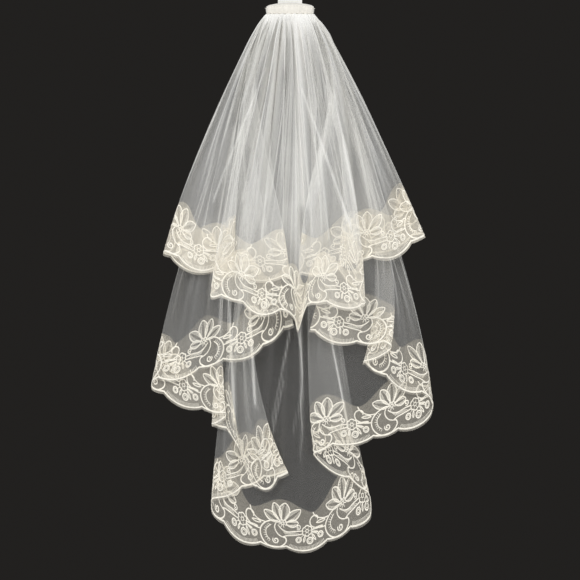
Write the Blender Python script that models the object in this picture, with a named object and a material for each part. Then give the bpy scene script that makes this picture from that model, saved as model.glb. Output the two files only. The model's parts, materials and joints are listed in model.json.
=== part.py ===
"""A two-tier lace-edged bridal veil that hangs by its comb from a plain wall hook.

Metres, +Z up. The wall is the plane y = 0 and the room is at -Y, so a distance called
"front" is how far a point stands in front of the wall. The origin is the centre of the
hook plate's back face.
"""

import math

import bpy
import numpy as np

# Driving sizes of the veil
VEIL_TOP = -0.006             # height of the gathered band's top
COMB_WIDTH = 0.078            # usual width of a veil comb
BAND_HEIGHT = 0.019
BAND_FRONT = (0.0163, 0.0425)  # the gathered band's back and front
CLOTH_WALL = 0.001
ROOM_SHARE = 0.40             # of the way to the next layer, the most that half the wall takes
FACING = 0.5                  # a layer counts as beside a point when it lies this squarely to it
SEAM_GAP = 0.0003

# The lace edging: one repeat is a flower, a leaf loop and a scallop of rings
LACE_REPEAT = 0.112
LACE_DEPTH = 0.084            # from the hem to the top of a flower
LACE_DIP = 0.026              # how much lower the edging is between two flowers

# The scalloped hem: a broad lobe under the rings and a small one under the leaf loop
LOBE_START = 0.067            # where the broad lobe starts, as a share of the repeat
LOBE_SHARE = 0.613            # of the repeat, that the broad lobe takes
LOBE_DEPTHS = (0.009, 0.0035)
LOBE_RISE = 0.004             # the points between lobes lie this far above the hem's line
LOBE_POWER = 0.75             # how round a lobe is: 1 is a sine
FLOWER_POWER = 0.8            # how broad the edging's top is over a flower: 1 is a cosine
SLOPE_REACH = 0.25            # repeats over which the slope is evened out
SLOPE_STEPS = 1600            # steps along the hem for that

# The gathered band: its rounded section is given by how far it draws in at each height
BAND_SECTION = ((0.0, 0.0034), (0.10, 0.0012), (0.28, 0.0), (0.5, 0.0), (0.72, 0.0015), (0.88, 0.0045),
                (1.0, 0.0090))
BAND_OVERHANG = 0.0006        # how far it reaches past the comb on each side
BAND_SQUARE = (0.35, 0.45)    # how square its plan is across and front to back; 1 would be an oval
BAND_SIDE_DRAW = 0.35         # how much of the drawing in its ends take
BAND_AROUND = 104             # points round it
BAND_PLEATS = 17
BAND_PLEAT_DEPTH = 0.0007
BAND_ARCH = 0.0045            # how much lower its top is at its ends

# The wall hook and the comb
PLATE = {"width": 0.040, "thick": 0.004, "top": 0.032, "foot": -0.058, "corner": 0.006}
LIP = {"width": 0.036, "back": 0.0122, "front": 0.0152, "top": -0.0153, "floor": 0.003,
       "bend": 0.003, "chamfer": 0.0008, "overlap": 0.001}
COMB = {"spine_top": -0.0085, "spine_foot": -0.0150, "spine_back": 0.0075,
        "spine_front": 0.0160, "tooth_back": 0.0078, "tooth_front": 0.0098,
        "tooth_length": 0.038, "teeth": 20, "tooth_share": 0.45, "tip_share": 0.55}

# How the cloth leaves the comb and spreads
COMB_REACH = 0.0393           # half the width of the cloth's gathered edge
COMB_HOOK = 0.12              # share of half a turn by which each side edge doubles back
FAN = 4.2                     # how many times the gathered edge's width is added at the hem
FAN_POWER = 0.85              # width of the fan against the share of the drop
FOLD_POWER = 1.6              # folds' way across the fan against the share of the drop
DEPTH_POWER = 0.45            # folds' way forward against the share of the drop
FOLD_INSET = 0.005            # how far the two sides of a fold lie in from its rounded tip
ROW_POWER = 1.6               # rows of the mesh lie closer together near the band
GATHERS = 15                  # small pleats sewn into the band, in each tier
GATHER_DEPTH = 0.0016
GATHER_REACH = 0.05           # share of the drop over which the gathers open out

# One row for each fold or stretch of the hem, from one side edge round to the other.
# bow: how far the fold's line swings sideways on its way down. hem_x, drop, hem_front:
# where the hem lies across, below VEIL_TOP and in front of the wall.
COLUMNS = ("name", "bow", "hem_x", "drop", "hem_front")
UPPER_TIER = (
    ("left side edge", 0.022, 0.000, 0.456, 0.0560),
    ("left back", 0.006, -0.078, 0.456, 0.0570),
    ("left back", -0.002, -0.155, 0.446, 0.0580),
    ("left fold back", -0.006, -0.206, 0.420, 0.0600),
    ("left fold front", -0.006, -0.206, 0.412, 0.0670),
    ("left panel", -0.010, -0.171, 0.432, 0.0700),
    ("left panel", -0.008, -0.138, 0.444, 0.0720),
    ("left inner fold", 0.000, -0.086, 0.434, 0.0745),
    ("left inner fold", 0.000, -0.086, 0.440, 0.0815),
    ("mid-left fold", -0.006, -0.128, 0.474, 0.0865),
    ("mid-left fold", -0.006, -0.128, 0.486, 0.0945),
    ("mid-left panel", -0.004, -0.086, 0.490, 0.1000),
    ("mid-left panel", 0.000, -0.058, 0.510, 0.1020),
    ("mid-left panel", 0.000, -0.024, 0.512, 0.1010),
    ("mid-left inner", 0.006, 0.002, 0.506, 0.0930),
    ("valley", 0.012, 0.009, 0.537, 0.0740),
    ("valley", 0.014, 0.016, 0.540, 0.0740),
    ("mid-right inner", 0.014, 0.025, 0.496, 0.0910),
    ("mid-right panel", 0.010, 0.044, 0.496, 0.0990),
    ("mid-right panel", 0.008, 0.080, 0.498, 0.1010),
    ("mid-right fold", 0.010, 0.119, 0.504, 0.0955),
    ("mid-right fold", 0.010, 0.119, 0.490, 0.0875),
    ("right inner fold", 0.004, 0.077, 0.440, 0.0825),
    ("right inner fold", 0.004, 0.077, 0.430, 0.0755),
    ("right panel", 0.004, 0.122, 0.426, 0.0720),
    ("right panel", 0.002, 0.172, 0.420, 0.0700),
    ("right fold front", 0.002, 0.219, 0.390, 0.0670),
    ("right fold back", 0.002, 0.219, 0.384, 0.0600),
    ("right back", 0.002, 0.168, 0.404, 0.0580),
    ("right back", -0.006, 0.096, 0.436, 0.0570),
    ("right side edge", -0.022, 0.014, 0.452, 0.0560),
)
LOWER_TIER = (
    ("left side edge", 0.004, 0.006, 0.528, 0.0530),
    ("left top run", 0.000, -0.046, 0.578, 0.0524),
    ("left top run", -0.004, -0.101, 0.587, 0.0518),
    ("left top run", -0.008, -0.170, 0.616, 0.0512),
    ("left fold", -0.010, -0.227, 0.622, 0.0495),
    ("left fold", -0.010, -0.227, 0.640, 0.0430),
    ("left panel", -0.010, -0.166, 0.666, 0.0410),
    ("narrow fold right", -0.008, -0.103, 0.680, 0.0395),
    ("narrow fold right", -0.008, -0.103, 0.684, 0.0345),
    ("narrow fold left", -0.002, -0.128, 0.690, 0.0328),
    ("narrow fold left", -0.004, -0.128, 0.692, 0.0280),
    ("left flap run", -0.018, -0.084, 0.722, 0.0268),
    ("left flap run", -0.032, -0.066, 0.800, 0.0260),
    ("left flap run", -0.038, -0.034, 0.814, 0.0252),
    ("left flap fold", -0.042, -0.003, 0.776, 0.0240),
    ("left flap fold", -0.042, -0.003, 0.768, 0.0190),
    ("left flap back", -0.036, -0.060, 0.800, 0.0175),
    ("left flap back", -0.028, -0.100, 0.812, 0.0160),
    ("tail left fold", -0.020, -0.132, 0.816, 0.0144),
    ("tail left fold", -0.017, -0.132, 0.850, 0.0096),
    ("tail", -0.010, -0.085, 0.890, 0.0086),
    ("tail", -0.004, -0.030, 0.904, 0.0082),
    ("tail", 0.000, 0.030, 0.908, 0.0082),
    ("tail", -0.002, 0.090, 0.884, 0.0086),
    ("tail right fold", -0.006, 0.135, 0.852, 0.0094),
    ("tail right fold", -0.008, 0.135, 0.812, 0.0152),
    ("right flap", -0.012, 0.092, 0.784, 0.0172),
    ("right flap fold", -0.022, 0.040, 0.756, 0.0190),
    ("right flap fold", -0.022, 0.040, 0.744, 0.0244),
    ("right low run", -0.008, 0.090, 0.724, 0.0256),
    ("right low run", 0.008, 0.150, 0.722, 0.0274),
    ("right fold", 0.020, 0.235, 0.686, 0.0296),
    ("right fold", 0.022, 0.235, 0.650, 0.0368),
    ("right panel", 0.026, 0.180, 0.634, 0.0390),
    ("right inner fold", 0.028, 0.119, 0.600, 0.0410),
    ("right inner fold", 0.028, 0.119, 0.590, 0.0460),
    ("right top fold", 0.026, 0.165, 0.572, 0.0476),
    ("right top fold", 0.024, 0.165, 0.562, 0.0516),
    ("right top run", 0.014, 0.100, 0.566, 0.0530),
    ("right side edge", 0.004, 0.030, 0.542, 0.0536),
)
TIERS = {
    # comb_front: at the side edges and in the middle. lace_shift: how far the lace's repeat
    # is moved along, at evenly spaced places across. steepest: the level share of the hem's
    # slope, below which the edging gets no deeper. Then the cells across, the cells from the
    # band down to the edging, and the cells down the edging.
    "upper": {"rows": UPPER_TIER, "comb_front": (0.0310, 0.0385),
              "lace_shift": (0.03, 0.03, 0.02, 0.00, -0.25, -0.60, -0.72, -0.78, -0.73),
              "steepest": 0.95, "across": 108, "down": 9, "edging": 2},
    "lower": {"rows": LOWER_TIER, "comb_front": (0.0285, 0.0196),
              "lace_shift": (0.50, 0.50, 0.40, 0.34, 0.27, 0.32, 0.27, 0.14, 0.24),
              "steepest": 0.80, "across": 132, "down": 13, "edging": 2},
}

MATERIALS = {
    # colour, alpha, roughness, metallic
    "tulle": ((0.90, 0.90, 0.88), 0.30, 0.80, 0.0),
    "lace": ((0.88, 0.84, 0.76), 0.75, 0.65, 0.0),
    "gathered_tulle": ((0.93, 0.91, 0.86), 1.0, 0.80, 0.0),
    "comb_plastic": ((0.86, 0.86, 0.84), 0.70, 0.25, 0.0),
    "hook_plastic": ((0.84, 0.83, 0.80), 1.0, 0.40, 0.0),
}


def material(name):
    found = bpy.data.materials.get(name)
    if found:
        return found
    colour, alpha, roughness, metallic = MATERIALS[name]
    made = bpy.data.materials.new(name)
    made.use_nodes = True
    shader = made.node_tree.nodes["Principled BSDF"]
    shader.inputs["Base Color"].default_value = (*colour, 1.0)
    shader.inputs["Alpha"].default_value = alpha
    shader.inputs["Roughness"].default_value = roughness
    shader.inputs["Metallic"].default_value = metallic
    return made


def add_object(name, points, faces, material_name):
    mesh = bpy.data.meshes.new(name)
    mesh.from_pydata([tuple(point) for point in points], [], faces)
    mesh.validate()
    mesh.shade_smooth()
    mesh.set_sharp_from_angle(angle=math.radians(50))
    mesh.materials.append(material(material_name))
    made = bpy.data.objects.new(name, mesh)
    bpy.context.collection.objects.link(made)
    return made


def b_spline(values, position):
    """A uniform cubic B-spline through a column of the table, position 0 to 1 along it."""
    values = np.concatenate([[2 * values[0] - values[1]], values, [2 * values[-1] - values[-2]]])
    spans = len(values) - 3
    place = np.clip(np.asarray(position) * spans, 0, spans - 1e-9)
    first = place.astype(int)
    t = place - first
    weights = ((1 - t) ** 3, 3 * t ** 3 - 6 * t ** 2 + 4, -3 * t ** 3 + 3 * t ** 2 + 3 * t + 1, t ** 3)
    return sum(weight * values[first + k] for k, weight in enumerate(weights)) / 6


def rounded_folds(rows):
    """The columns as control points: a fold is two rows at one place across, which become
    four so that the cloth turns there in a round bend."""
    controls = []
    for k, row in enumerate(rows):
        values = np.array(row[1:])
        following = np.array(rows[min(k + 1, len(rows) - 1)][1:])
        before = np.array(rows[max(k - 1, 0)][1:])
        across = COLUMNS.index("hem_x") - 1
        if k + 1 < len(rows) and abs(following[across] - values[across]) < FOLD_INSET:
            inset = values + 0.0
            inset[across] -= math.copysign(FOLD_INSET, values[across] - before[across])
            controls.extend([inset, values * 0.75 + following * 0.25])
        elif k and abs(before[across] - values[across]) < FOLD_INSET:
            inset = values + 0.0
            inset[across] -= math.copysign(FOLD_INSET, values[across] - following[across])
            controls.extend([values * 0.75 + before * 0.25, inset])
        else:
            controls.append(values)
    return np.array(controls)


def columns_at(tier, position):
    """The table's columns read smoothly across the tier, and where it leaves the comb."""
    controls = rounded_folds(tier["rows"])
    at = {name: b_spline(controls[:, k], position) for k, name in enumerate(COLUMNS[1:])}
    turn = math.pi * (position * (1 + 2 * COMB_HOOK) - COMB_HOOK)
    at["comb_x"] = -COMB_REACH * np.cos(turn)
    side, middle = tier["comb_front"]
    outwards = np.abs(2 * position - 1)
    at["comb_front"] = middle + (side - middle) * (0.5 * outwards + 0.5 * outwards ** 5)
    return at


def hem_line(tier):
    """(positions across, length along the hem in metres, drop) at close steps."""
    fine = np.linspace(0, 1, 2001)
    at = columns_at(tier, fine)
    line = np.stack([at["hem_x"], at["hem_front"], at["drop"]], axis=1)
    along = np.concatenate([[0], np.cumsum(np.linalg.norm(np.diff(line, axis=0), axis=1))])
    return fine, along, at["drop"]


def lace_place(tier, position):
    """Place in the lace's pattern, a whole number at the middle of a flower."""
    fine, along, _ = hem_line(tier)
    repeats = round(along[-1] / LACE_REPEAT)
    shift = tier["lace_shift"]
    return (np.interp(position, fine, along * repeats / along[-1])
            - np.interp(position, np.linspace(0, 1, len(shift)), shift))


def lace_stretch(tier, position):
    """How much further the edging reaches straight down where the hem is steep, so that it
    keeps its own depth across the hem."""
    fine, along, drop = hem_line(tier)
    even = np.linspace(0, along[-1], SLOPE_STEPS + 1)
    slope = np.gradient(np.interp(even, along, drop), even)
    level = np.sqrt(np.clip(1 - slope ** 2, tier["steepest"] ** 2, 1))
    reach = SLOPE_REACH * LACE_REPEAT / even[1]
    beside = math.ceil(2.5 * reach)
    weights = np.exp(-(np.arange(-beside, beside + 1) / reach) ** 2)
    evened = np.convolve(np.pad(1 / level, beside, mode="edge"), weights / weights.sum(), mode="valid")
    return np.interp(np.interp(position, fine, along), even, evened)


def lace_wave(place):
    """1 at the middle of a flower and 0 halfway to the next, with a broad top."""
    return (0.5 + 0.5 * np.cos(2 * math.pi * place)) ** FLOWER_POWER


def hem_wave(place):
    """How far the scalloped edge falls below the hem's line."""
    beyond = (place - LOBE_START) % 1
    broad = beyond < LOBE_SHARE
    across = np.where(broad, beyond / LOBE_SHARE, (beyond - LOBE_SHARE) / (1 - LOBE_SHARE))
    depth = np.where(broad, LOBE_DEPTHS[0], LOBE_DEPTHS[1])
    return depth * np.sin(math.pi * np.clip(across, 0, 1)) ** LOBE_POWER - LOBE_RISE


def gathers(position, share):
    """The sewn pleats' depth, which opens out below the band and is least at the sides."""
    turn = math.pi * (position * (1 + 2 * COMB_HOOK) - COMB_HOOK)
    fade = np.exp(-share / GATHER_REACH) * np.clip(np.sin(turn), 0, 1) ** 2
    return GATHER_DEPTH * fade * np.sin(2 * math.pi * GATHERS * position)


def cloth_point(tier, position, drop):
    """The middle of the cloth, at a drop below the veil's top, as (x, y, z)."""
    at = columns_at(tier, position)
    top = BAND_HEIGHT + SEAM_GAP
    share = np.clip((drop - top) / (at["drop"] - top), 0, None)
    fan = at["comb_x"] * (1 + FAN * share ** FAN_POWER)
    folded = (at["hem_x"] - at["comb_x"] * (1 + FAN)) * share ** FOLD_POWER
    x = fan + folded + at["bow"] * 6.75 * share ** 2 * (1 - share)
    front = at["comb_front"] + (at["hem_front"] - at["comb_front"]) * share ** DEPTH_POWER
    return np.stack([x, -(front + gathers(position, share)), VEIL_TOP - drop], axis=-1)


def room_beside(tier, position, drop, normal, sign):
    """How far each point is from the next layer of the tier, on one side, at its own height."""
    rooms = []
    for k in range(len(position)):
        level = cloth_point(tier, position, np.full(len(position), drop[k]))[:, :2]
        first = np.delete(level[:-1], [j for j in (k - 1, k) if 0 <= j < len(level) - 1], axis=0)
        last = np.delete(level[1:], [j for j in (k - 1, k) if 0 <= j < len(level) - 1], axis=0)
        along = last - first
        reach = np.einsum("ij,ij->i", level[k] - first, along) / np.einsum("ij,ij->i", along, along)
        apart = first + along * np.clip(reach, 0, 1)[:, None] - level[k]
        distance = np.linalg.norm(apart, axis=1)
        faced = apart @ (normal[k] * sign) > FACING * distance
        rooms.append(distance[faced].min() if faced.any() else np.inf)
    return np.array(rooms)


def cloth_sides(tier, position, drop):
    """Both faces of the cloth's wall along one row, each set off level from the middle, so
    that a seam's two walls stay apart. In a tight fold the wall thins on the inside."""
    middle = cloth_point(tier, position, drop)
    near = 1e-4
    ahead = cloth_point(tier, np.clip(position + near, 0, 1), drop)
    behind = cloth_point(tier, np.clip(position - near, 0, 1), drop)
    across = (ahead - behind)[:, :2]
    across /= np.linalg.norm(across, axis=1, keepdims=True)
    normal = np.stack([across[:, 1], -across[:, 0]], axis=-1)
    sides = []
    for sign in (1, -1):
        room = room_beside(tier, position, drop, normal, sign)
        side = middle.copy()
        side[:, :2] += normal * sign * np.minimum(CLOTH_WALL / 2, ROOM_SHARE * room)[:, None]
        sides.append(side)
    return sides


def cloth_rows(tier, part):
    """Rows of points on the wall's two faces, down the tier's tulle or down its edging."""
    position = np.linspace(0, 1, tier["across"] + 1)
    place, stretch = lace_place(tier, position), lace_stretch(tier, position)
    line = columns_at(tier, position)["drop"]
    hem = line + hem_wave(place) * stretch
    seam = line - (LACE_DEPTH - LACE_DIP * (1 - lace_wave(place))) * stretch
    if part == "tulle":
        shares = np.linspace(0, 1, tier["down"] + 1) ** ROW_POWER
        first, last = np.full_like(seam, BAND_HEIGHT + SEAM_GAP), seam
    else:
        shares = np.linspace(0, 1, tier["edging"] + 1)
        first, last = seam + SEAM_GAP * stretch ** 2, hem
    rows = [cloth_sides(tier, position, first + (last - first) * share) for share in shares]
    return np.array([row[0] for row in rows]), np.array([row[1] for row in rows])


def cloth_wall(name, tier, part, material_name):
    """A closed wall of the cloth's thickness on both sides of the tier's surface."""
    outer, inner = cloth_rows(tier, part)
    down, across = outer.shape[:2]
    vertices = np.concatenate([outer.reshape(-1, 3), inner.reshape(-1, 3)])
    inside = down * across

    def corner(row, column):
        return row * across + column

    faces = []
    for row in range(down - 1):
        for column in range(across - 1):
            a, b = corner(row, column), corner(row, column + 1)
            c, d = corner(row + 1, column + 1), corner(row + 1, column)
            faces.append((a, d, c, b))
            faces.append((inside + a, inside + b, inside + c, inside + d))
    for column in range(across - 1):
        for row, turned in ((0, False), (down - 1, True)):
            a, b = corner(row, column), corner(row, column + 1)
            for rim in ((a, b, inside + b), (a, inside + b, inside + a)):
                faces.append(rim[::-1] if turned else rim)
    for row in range(down - 1):
        for column, turned in ((0, True), (across - 1, False)):
            a, b = corner(row, column), corner(row + 1, column)
            for rim in ((a, b, inside + b), (a, inside + b, inside + a)):
                faces.append(rim[::-1] if turned else rim)
    return add_object(name, vertices, faces, material_name)


def gathered_band():
    """The top, where both tiers are gathered and stitched: a rounded roll with pleats."""
    back, front = BAND_FRONT
    middle, half_deep = -(back + front) / 2, (front - back) / 2
    half_wide = COMB_WIDTH / 2 + BAND_OVERHANG
    points = []
    for height, inset in BAND_SECTION:
        for k in range(BAND_AROUND):
            angle = 2 * math.pi * k / BAND_AROUND
            cos, sin = math.cos(angle), math.sin(angle)
            x = (half_wide - inset * BAND_SIDE_DRAW) * math.copysign(abs(cos) ** BAND_SQUARE[0], cos)
            wave = math.sin(2 * math.pi * BAND_PLEATS * x / COMB_WIDTH)
            pleat = BAND_PLEAT_DEPTH * wave * (1 - height) * max(0.0, -sin)
            deep = (half_deep - inset) * math.copysign(abs(sin) ** BAND_SQUARE[1], sin)
            arch = BAND_ARCH * (x / half_wide) ** 2 * height
            points.append((x, middle + deep + pleat, VEIL_TOP - BAND_HEIGHT * (1 - height) - arch))
    faces = []
    for ring in range(len(BAND_SECTION) - 1):
        for k in range(BAND_AROUND):
            a, b = ring * BAND_AROUND + k, ring * BAND_AROUND + (k + 1) % BAND_AROUND
            faces.append((a, b, b + BAND_AROUND, a + BAND_AROUND))
    top = (len(BAND_SECTION) - 1) * BAND_AROUND
    faces.append(tuple(reversed(range(BAND_AROUND))))
    faces.append(tuple(range(top, top + BAND_AROUND)))
    return add_object("gathered_band", points, faces, "gathered_tulle")


def extruded(name, outline, start, thick, axes, material_name):
    """A flat outline given a thickness. axes puts (across, up, thickness) on x, y and z."""
    points = []
    for depth in (start, start + thick):
        for across, up in outline:
            point = [0.0, 0.0, 0.0]
            point[axes[0]], point[axes[1]], point[axes[2]] = across, up, depth
            points.append(point)
    count = len(outline)
    faces = [tuple(range(count)), tuple(reversed(range(count, 2 * count)))]
    for k in range(count):
        following = (k + 1) % count
        faces.append((k, k + count, following + count, following))
    return add_object(name, points, faces, material_name)


def comb():
    """A comb with its teeth down: a spine and tapered teeth, as one flat outline."""
    half = COMB_WIDTH / 2
    spine_foot, spine_top = COMB["spine_foot"], COMB["spine_top"]
    tip = spine_foot - COMB["tooth_length"]
    pitch = COMB_WIDTH / COMB["teeth"]
    root = pitch * COMB["tooth_share"] / 2
    end = root * COMB["tip_share"]
    outline = [(-half, spine_top), (-half, spine_foot)]
    for k in range(COMB["teeth"]):
        middle = -half + pitch * (k + 0.5)
        outline.extend([(middle - root, spine_foot), (middle - end, tip)])
        outline.extend([(middle + end, tip), (middle + root, spine_foot)])
    outline.extend([(half, spine_foot), (half, spine_top)])
    teeth = extruded("comb", outline, -COMB["tooth_front"], COMB["tooth_front"] - COMB["tooth_back"],
                     (0, 2, 1), "comb_plastic")
    spine_outline = [(-half, spine_foot), (half, spine_foot), (half, spine_top), (-half, spine_top)]
    spine = extruded("comb_spine_block", spine_outline, -COMB["spine_front"],
                     COMB["spine_front"] - COMB["spine_back"], (0, 2, 1), "comb_plastic")
    spine.hide_render = True
    spine.display_type = "WIRE"
    join = teeth.modifiers.new("spine", "BOOLEAN")
    join.operation = "UNION"
    join.object = spine
    return teeth


def wall_hook():
    """A plate on the wall whose foot turns forwards and up into a lip that carries the comb."""
    plate_half, lip_half = PLATE["width"] / 2, LIP["width"] / 2
    plate_outline = []
    corner = PLATE["corner"]
    for centre_x, centre_z, start in (
        (plate_half - corner, PLATE["top"] - corner, 0),
        (-plate_half + corner, PLATE["top"] - corner, 90),
        (-plate_half + corner, PLATE["foot"] + corner, 180),
        (plate_half - corner, PLATE["foot"] + corner, 270),
    ):
        for step in range(4):
            angle = math.radians(start + 30 * step)
            plate_outline.append((centre_x + corner * math.cos(angle), centre_z + corner * math.sin(angle)))
    plate = extruded("wall_hook", plate_outline, -PLATE["thick"], PLATE["thick"], (0, 2, 1), "hook_plastic")
    foot, top, back, front = PLATE["foot"], LIP["top"], LIP["back"], LIP["front"]
    bend, chamfer, floor = LIP["bend"], LIP["chamfer"], foot + LIP["floor"]
    hook_outline = [
        (-LIP["overlap"], foot), (bend - front, foot), (-front, foot + bend),
        (-front, top - chamfer), (chamfer - front, top), (-back - chamfer, top),
        (-back, top - chamfer), (-back, floor), (-LIP["overlap"], floor),
    ]
    lip = extruded("wall_hook_lip", hook_outline, -lip_half, LIP["width"], (1, 2, 0), "hook_plastic")
    lip.hide_render = True
    lip.display_type = "WIRE"
    join = plate.modifiers.new("lip", "BOOLEAN")
    join.operation = "UNION"
    join.object = lip
    return plate


def face_outwards(made):
    """Turns a hand-listed outline's faces out where its winding came out reversed."""
    mesh = made.data
    corners = [[mesh.vertices[v].co for v in face.vertices] for face in mesh.polygons]
    volume = sum(
        face[0].dot(face[k].cross(face[k + 1])) for face in corners for k in range(1, len(face) - 1)
    )
    if volume < 0:
        mesh.flip_normals()


def main():
    for old in list(bpy.data.objects):
        bpy.data.objects.remove(old, do_unlink=True)
    wall_hook()
    comb()
    gathered_band()
    for name, tier in TIERS.items():
        cloth_wall(f"{name}_tier", tier, "tulle", "tulle")
        cloth_wall(f"{name}_lace", tier, "edging", "lace")
    for made in bpy.data.objects:
        face_outwards(made)


if __name__ == "__main__":
    main()
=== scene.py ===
"""The looks of a two-tier bridal veil on its wall hook: net, lace edging, embroidery and fittings.

Metres, +Z up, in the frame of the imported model: the wall is the plane y = 0 and the room is
at -Y. The cloth follows the same sizes and fold tables as the solids, on finer grids, and
"front" is how far a point stands in front of the wall.
"""

import json
import math

import bmesh
import bpy
import numpy as np
from bpy.props import FloatProperty, FloatVectorProperty, IntProperty, PointerProperty
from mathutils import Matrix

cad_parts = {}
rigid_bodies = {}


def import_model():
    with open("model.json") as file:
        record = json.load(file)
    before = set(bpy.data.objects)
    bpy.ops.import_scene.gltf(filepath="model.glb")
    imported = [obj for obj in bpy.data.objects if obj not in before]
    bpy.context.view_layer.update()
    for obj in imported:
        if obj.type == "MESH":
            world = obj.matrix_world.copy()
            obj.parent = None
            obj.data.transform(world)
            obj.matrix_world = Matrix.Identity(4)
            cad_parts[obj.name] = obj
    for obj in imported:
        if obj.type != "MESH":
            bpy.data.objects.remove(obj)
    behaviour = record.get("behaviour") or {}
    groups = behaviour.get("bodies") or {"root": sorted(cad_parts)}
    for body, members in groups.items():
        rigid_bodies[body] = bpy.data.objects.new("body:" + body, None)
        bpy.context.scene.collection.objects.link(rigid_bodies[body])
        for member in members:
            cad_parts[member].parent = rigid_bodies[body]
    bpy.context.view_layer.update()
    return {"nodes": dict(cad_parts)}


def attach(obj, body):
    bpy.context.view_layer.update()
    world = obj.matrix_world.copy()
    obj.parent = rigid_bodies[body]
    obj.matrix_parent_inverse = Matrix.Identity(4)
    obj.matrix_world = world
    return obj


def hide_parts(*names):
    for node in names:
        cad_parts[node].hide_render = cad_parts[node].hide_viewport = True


bl_info = {
    "name": "Bridal veil looks",
    "version": (1, 0, 0),
    "blender": (4, 5, 0),
    "location": "View3D > Sidebar > Veil",
    "description": "Net, lace edging, embroidery, gathered top, comb and hook of a two-tier bridal veil",
    "category": "Object",
}

for old in list(bpy.data.objects):
    bpy.data.objects.remove(old, do_unlink=True)
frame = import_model()

# Driving sizes of the veil, as in the solids
VEIL_TOP = -0.006
COMB_WIDTH = 0.078
BAND_HEIGHT = 0.019
BAND_FRONT = (0.0163, 0.0425)
BAND_SECTION = ((0.0, 0.0035), (0.14, 0.0021), (0.32, 0.0008), (0.5, 0.0), (0.66, 0.0005), (0.8, 0.0026),
                (0.9, 0.0052), (1.0, 0.0090))
BAND_OVERHANG = 0.0006
BAND_SQUARE = (0.35, 0.45)
BAND_SIDE_DRAW = 0.35
BAND_ARCH = 0.0045
SEAM_GAP = 0.0003
LACE_REPEAT = 0.112
LACE_DEPTH = 0.084
LACE_DIP = 0.026
LOBE_POWER = 0.75
FLOWER_POWER = 0.8
SLOPE_REACH = 0.25
SLOPE_STEPS = 1600
HEM_STEPS = 4000
COMB_SPINE = {"top": -0.0085, "foot": -0.0150, "back": 0.0075, "front": 0.0160}
COMB_TEETH = 20

# The scalloped hem: a broad lobe under the rings and a small one under the leaf loop
LOBE_START = 0.067            # where the broad lobe starts, as a share of the repeat
LOBE_SHARE = 0.613            # of the repeat, that the broad lobe takes
LOBE_DEPTHS = (0.009, 0.0035)
LOBE_RISE = 0.004             # the points between lobes lie this far above the hem's line
BORDER_MARGIN = 0.0042        # plain net beyond the border cord

# How the cloth leaves the comb and spreads
COMB_REACH = 0.0393
COMB_HOOK = 0.12
FAN = 4.2
FAN_POWER = 0.85
FOLD_POWER = 1.6
DEPTH_POWER = 0.45
BOW_SCALE = 6.75              # brings the greatest value of share ** 2 * (1 - share) to 1
FOLD_INSET = 0.005
GATHERS = 15
GATHER_DEPTH = 0.0016
GATHER_REACH = 0.05

COLUMNS = ("name", "bow", "hem_x", "drop", "hem_front")
UPPER_TIER = (
    ("left side edge", 0.022, 0.000, 0.456, 0.0560),
    ("left back", 0.006, -0.078, 0.456, 0.0570),
    ("left back", -0.002, -0.155, 0.446, 0.0580),
    ("left fold back", -0.006, -0.206, 0.420, 0.0600),
    ("left fold front", -0.006, -0.206, 0.412, 0.0670),
    ("left panel", -0.010, -0.171, 0.432, 0.0700),
    ("left panel", -0.008, -0.138, 0.444, 0.0720),
    ("left inner fold", 0.000, -0.086, 0.434, 0.0745),
    ("left inner fold", 0.000, -0.086, 0.440, 0.0815),
    ("mid-left fold", -0.006, -0.128, 0.474, 0.0865),
    ("mid-left fold", -0.006, -0.128, 0.486, 0.0945),
    ("mid-left panel", -0.004, -0.086, 0.490, 0.1000),
    ("mid-left panel", 0.000, -0.058, 0.510, 0.1020),
    ("mid-left panel", 0.000, -0.024, 0.512, 0.1010),
    ("mid-left inner", 0.006, 0.002, 0.506, 0.0930),
    ("valley", 0.012, 0.009, 0.537, 0.0740),
    ("valley", 0.014, 0.016, 0.540, 0.0740),
    ("mid-right inner", 0.014, 0.025, 0.496, 0.0910),
    ("mid-right panel", 0.010, 0.044, 0.496, 0.0990),
    ("mid-right panel", 0.008, 0.080, 0.498, 0.1010),
    ("mid-right fold", 0.010, 0.119, 0.504, 0.0955),
    ("mid-right fold", 0.010, 0.119, 0.490, 0.0875),
    ("right inner fold", 0.004, 0.077, 0.440, 0.0825),
    ("right inner fold", 0.004, 0.077, 0.430, 0.0755),
    ("right panel", 0.004, 0.122, 0.426, 0.0720),
    ("right panel", 0.002, 0.172, 0.420, 0.0700),
    ("right fold front", 0.002, 0.219, 0.390, 0.0670),
    ("right fold back", 0.002, 0.219, 0.384, 0.0600),
    ("right back", 0.002, 0.168, 0.404, 0.0580),
    ("right back", -0.006, 0.096, 0.436, 0.0570),
    ("right side edge", -0.022, 0.014, 0.452, 0.0560),
)
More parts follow.
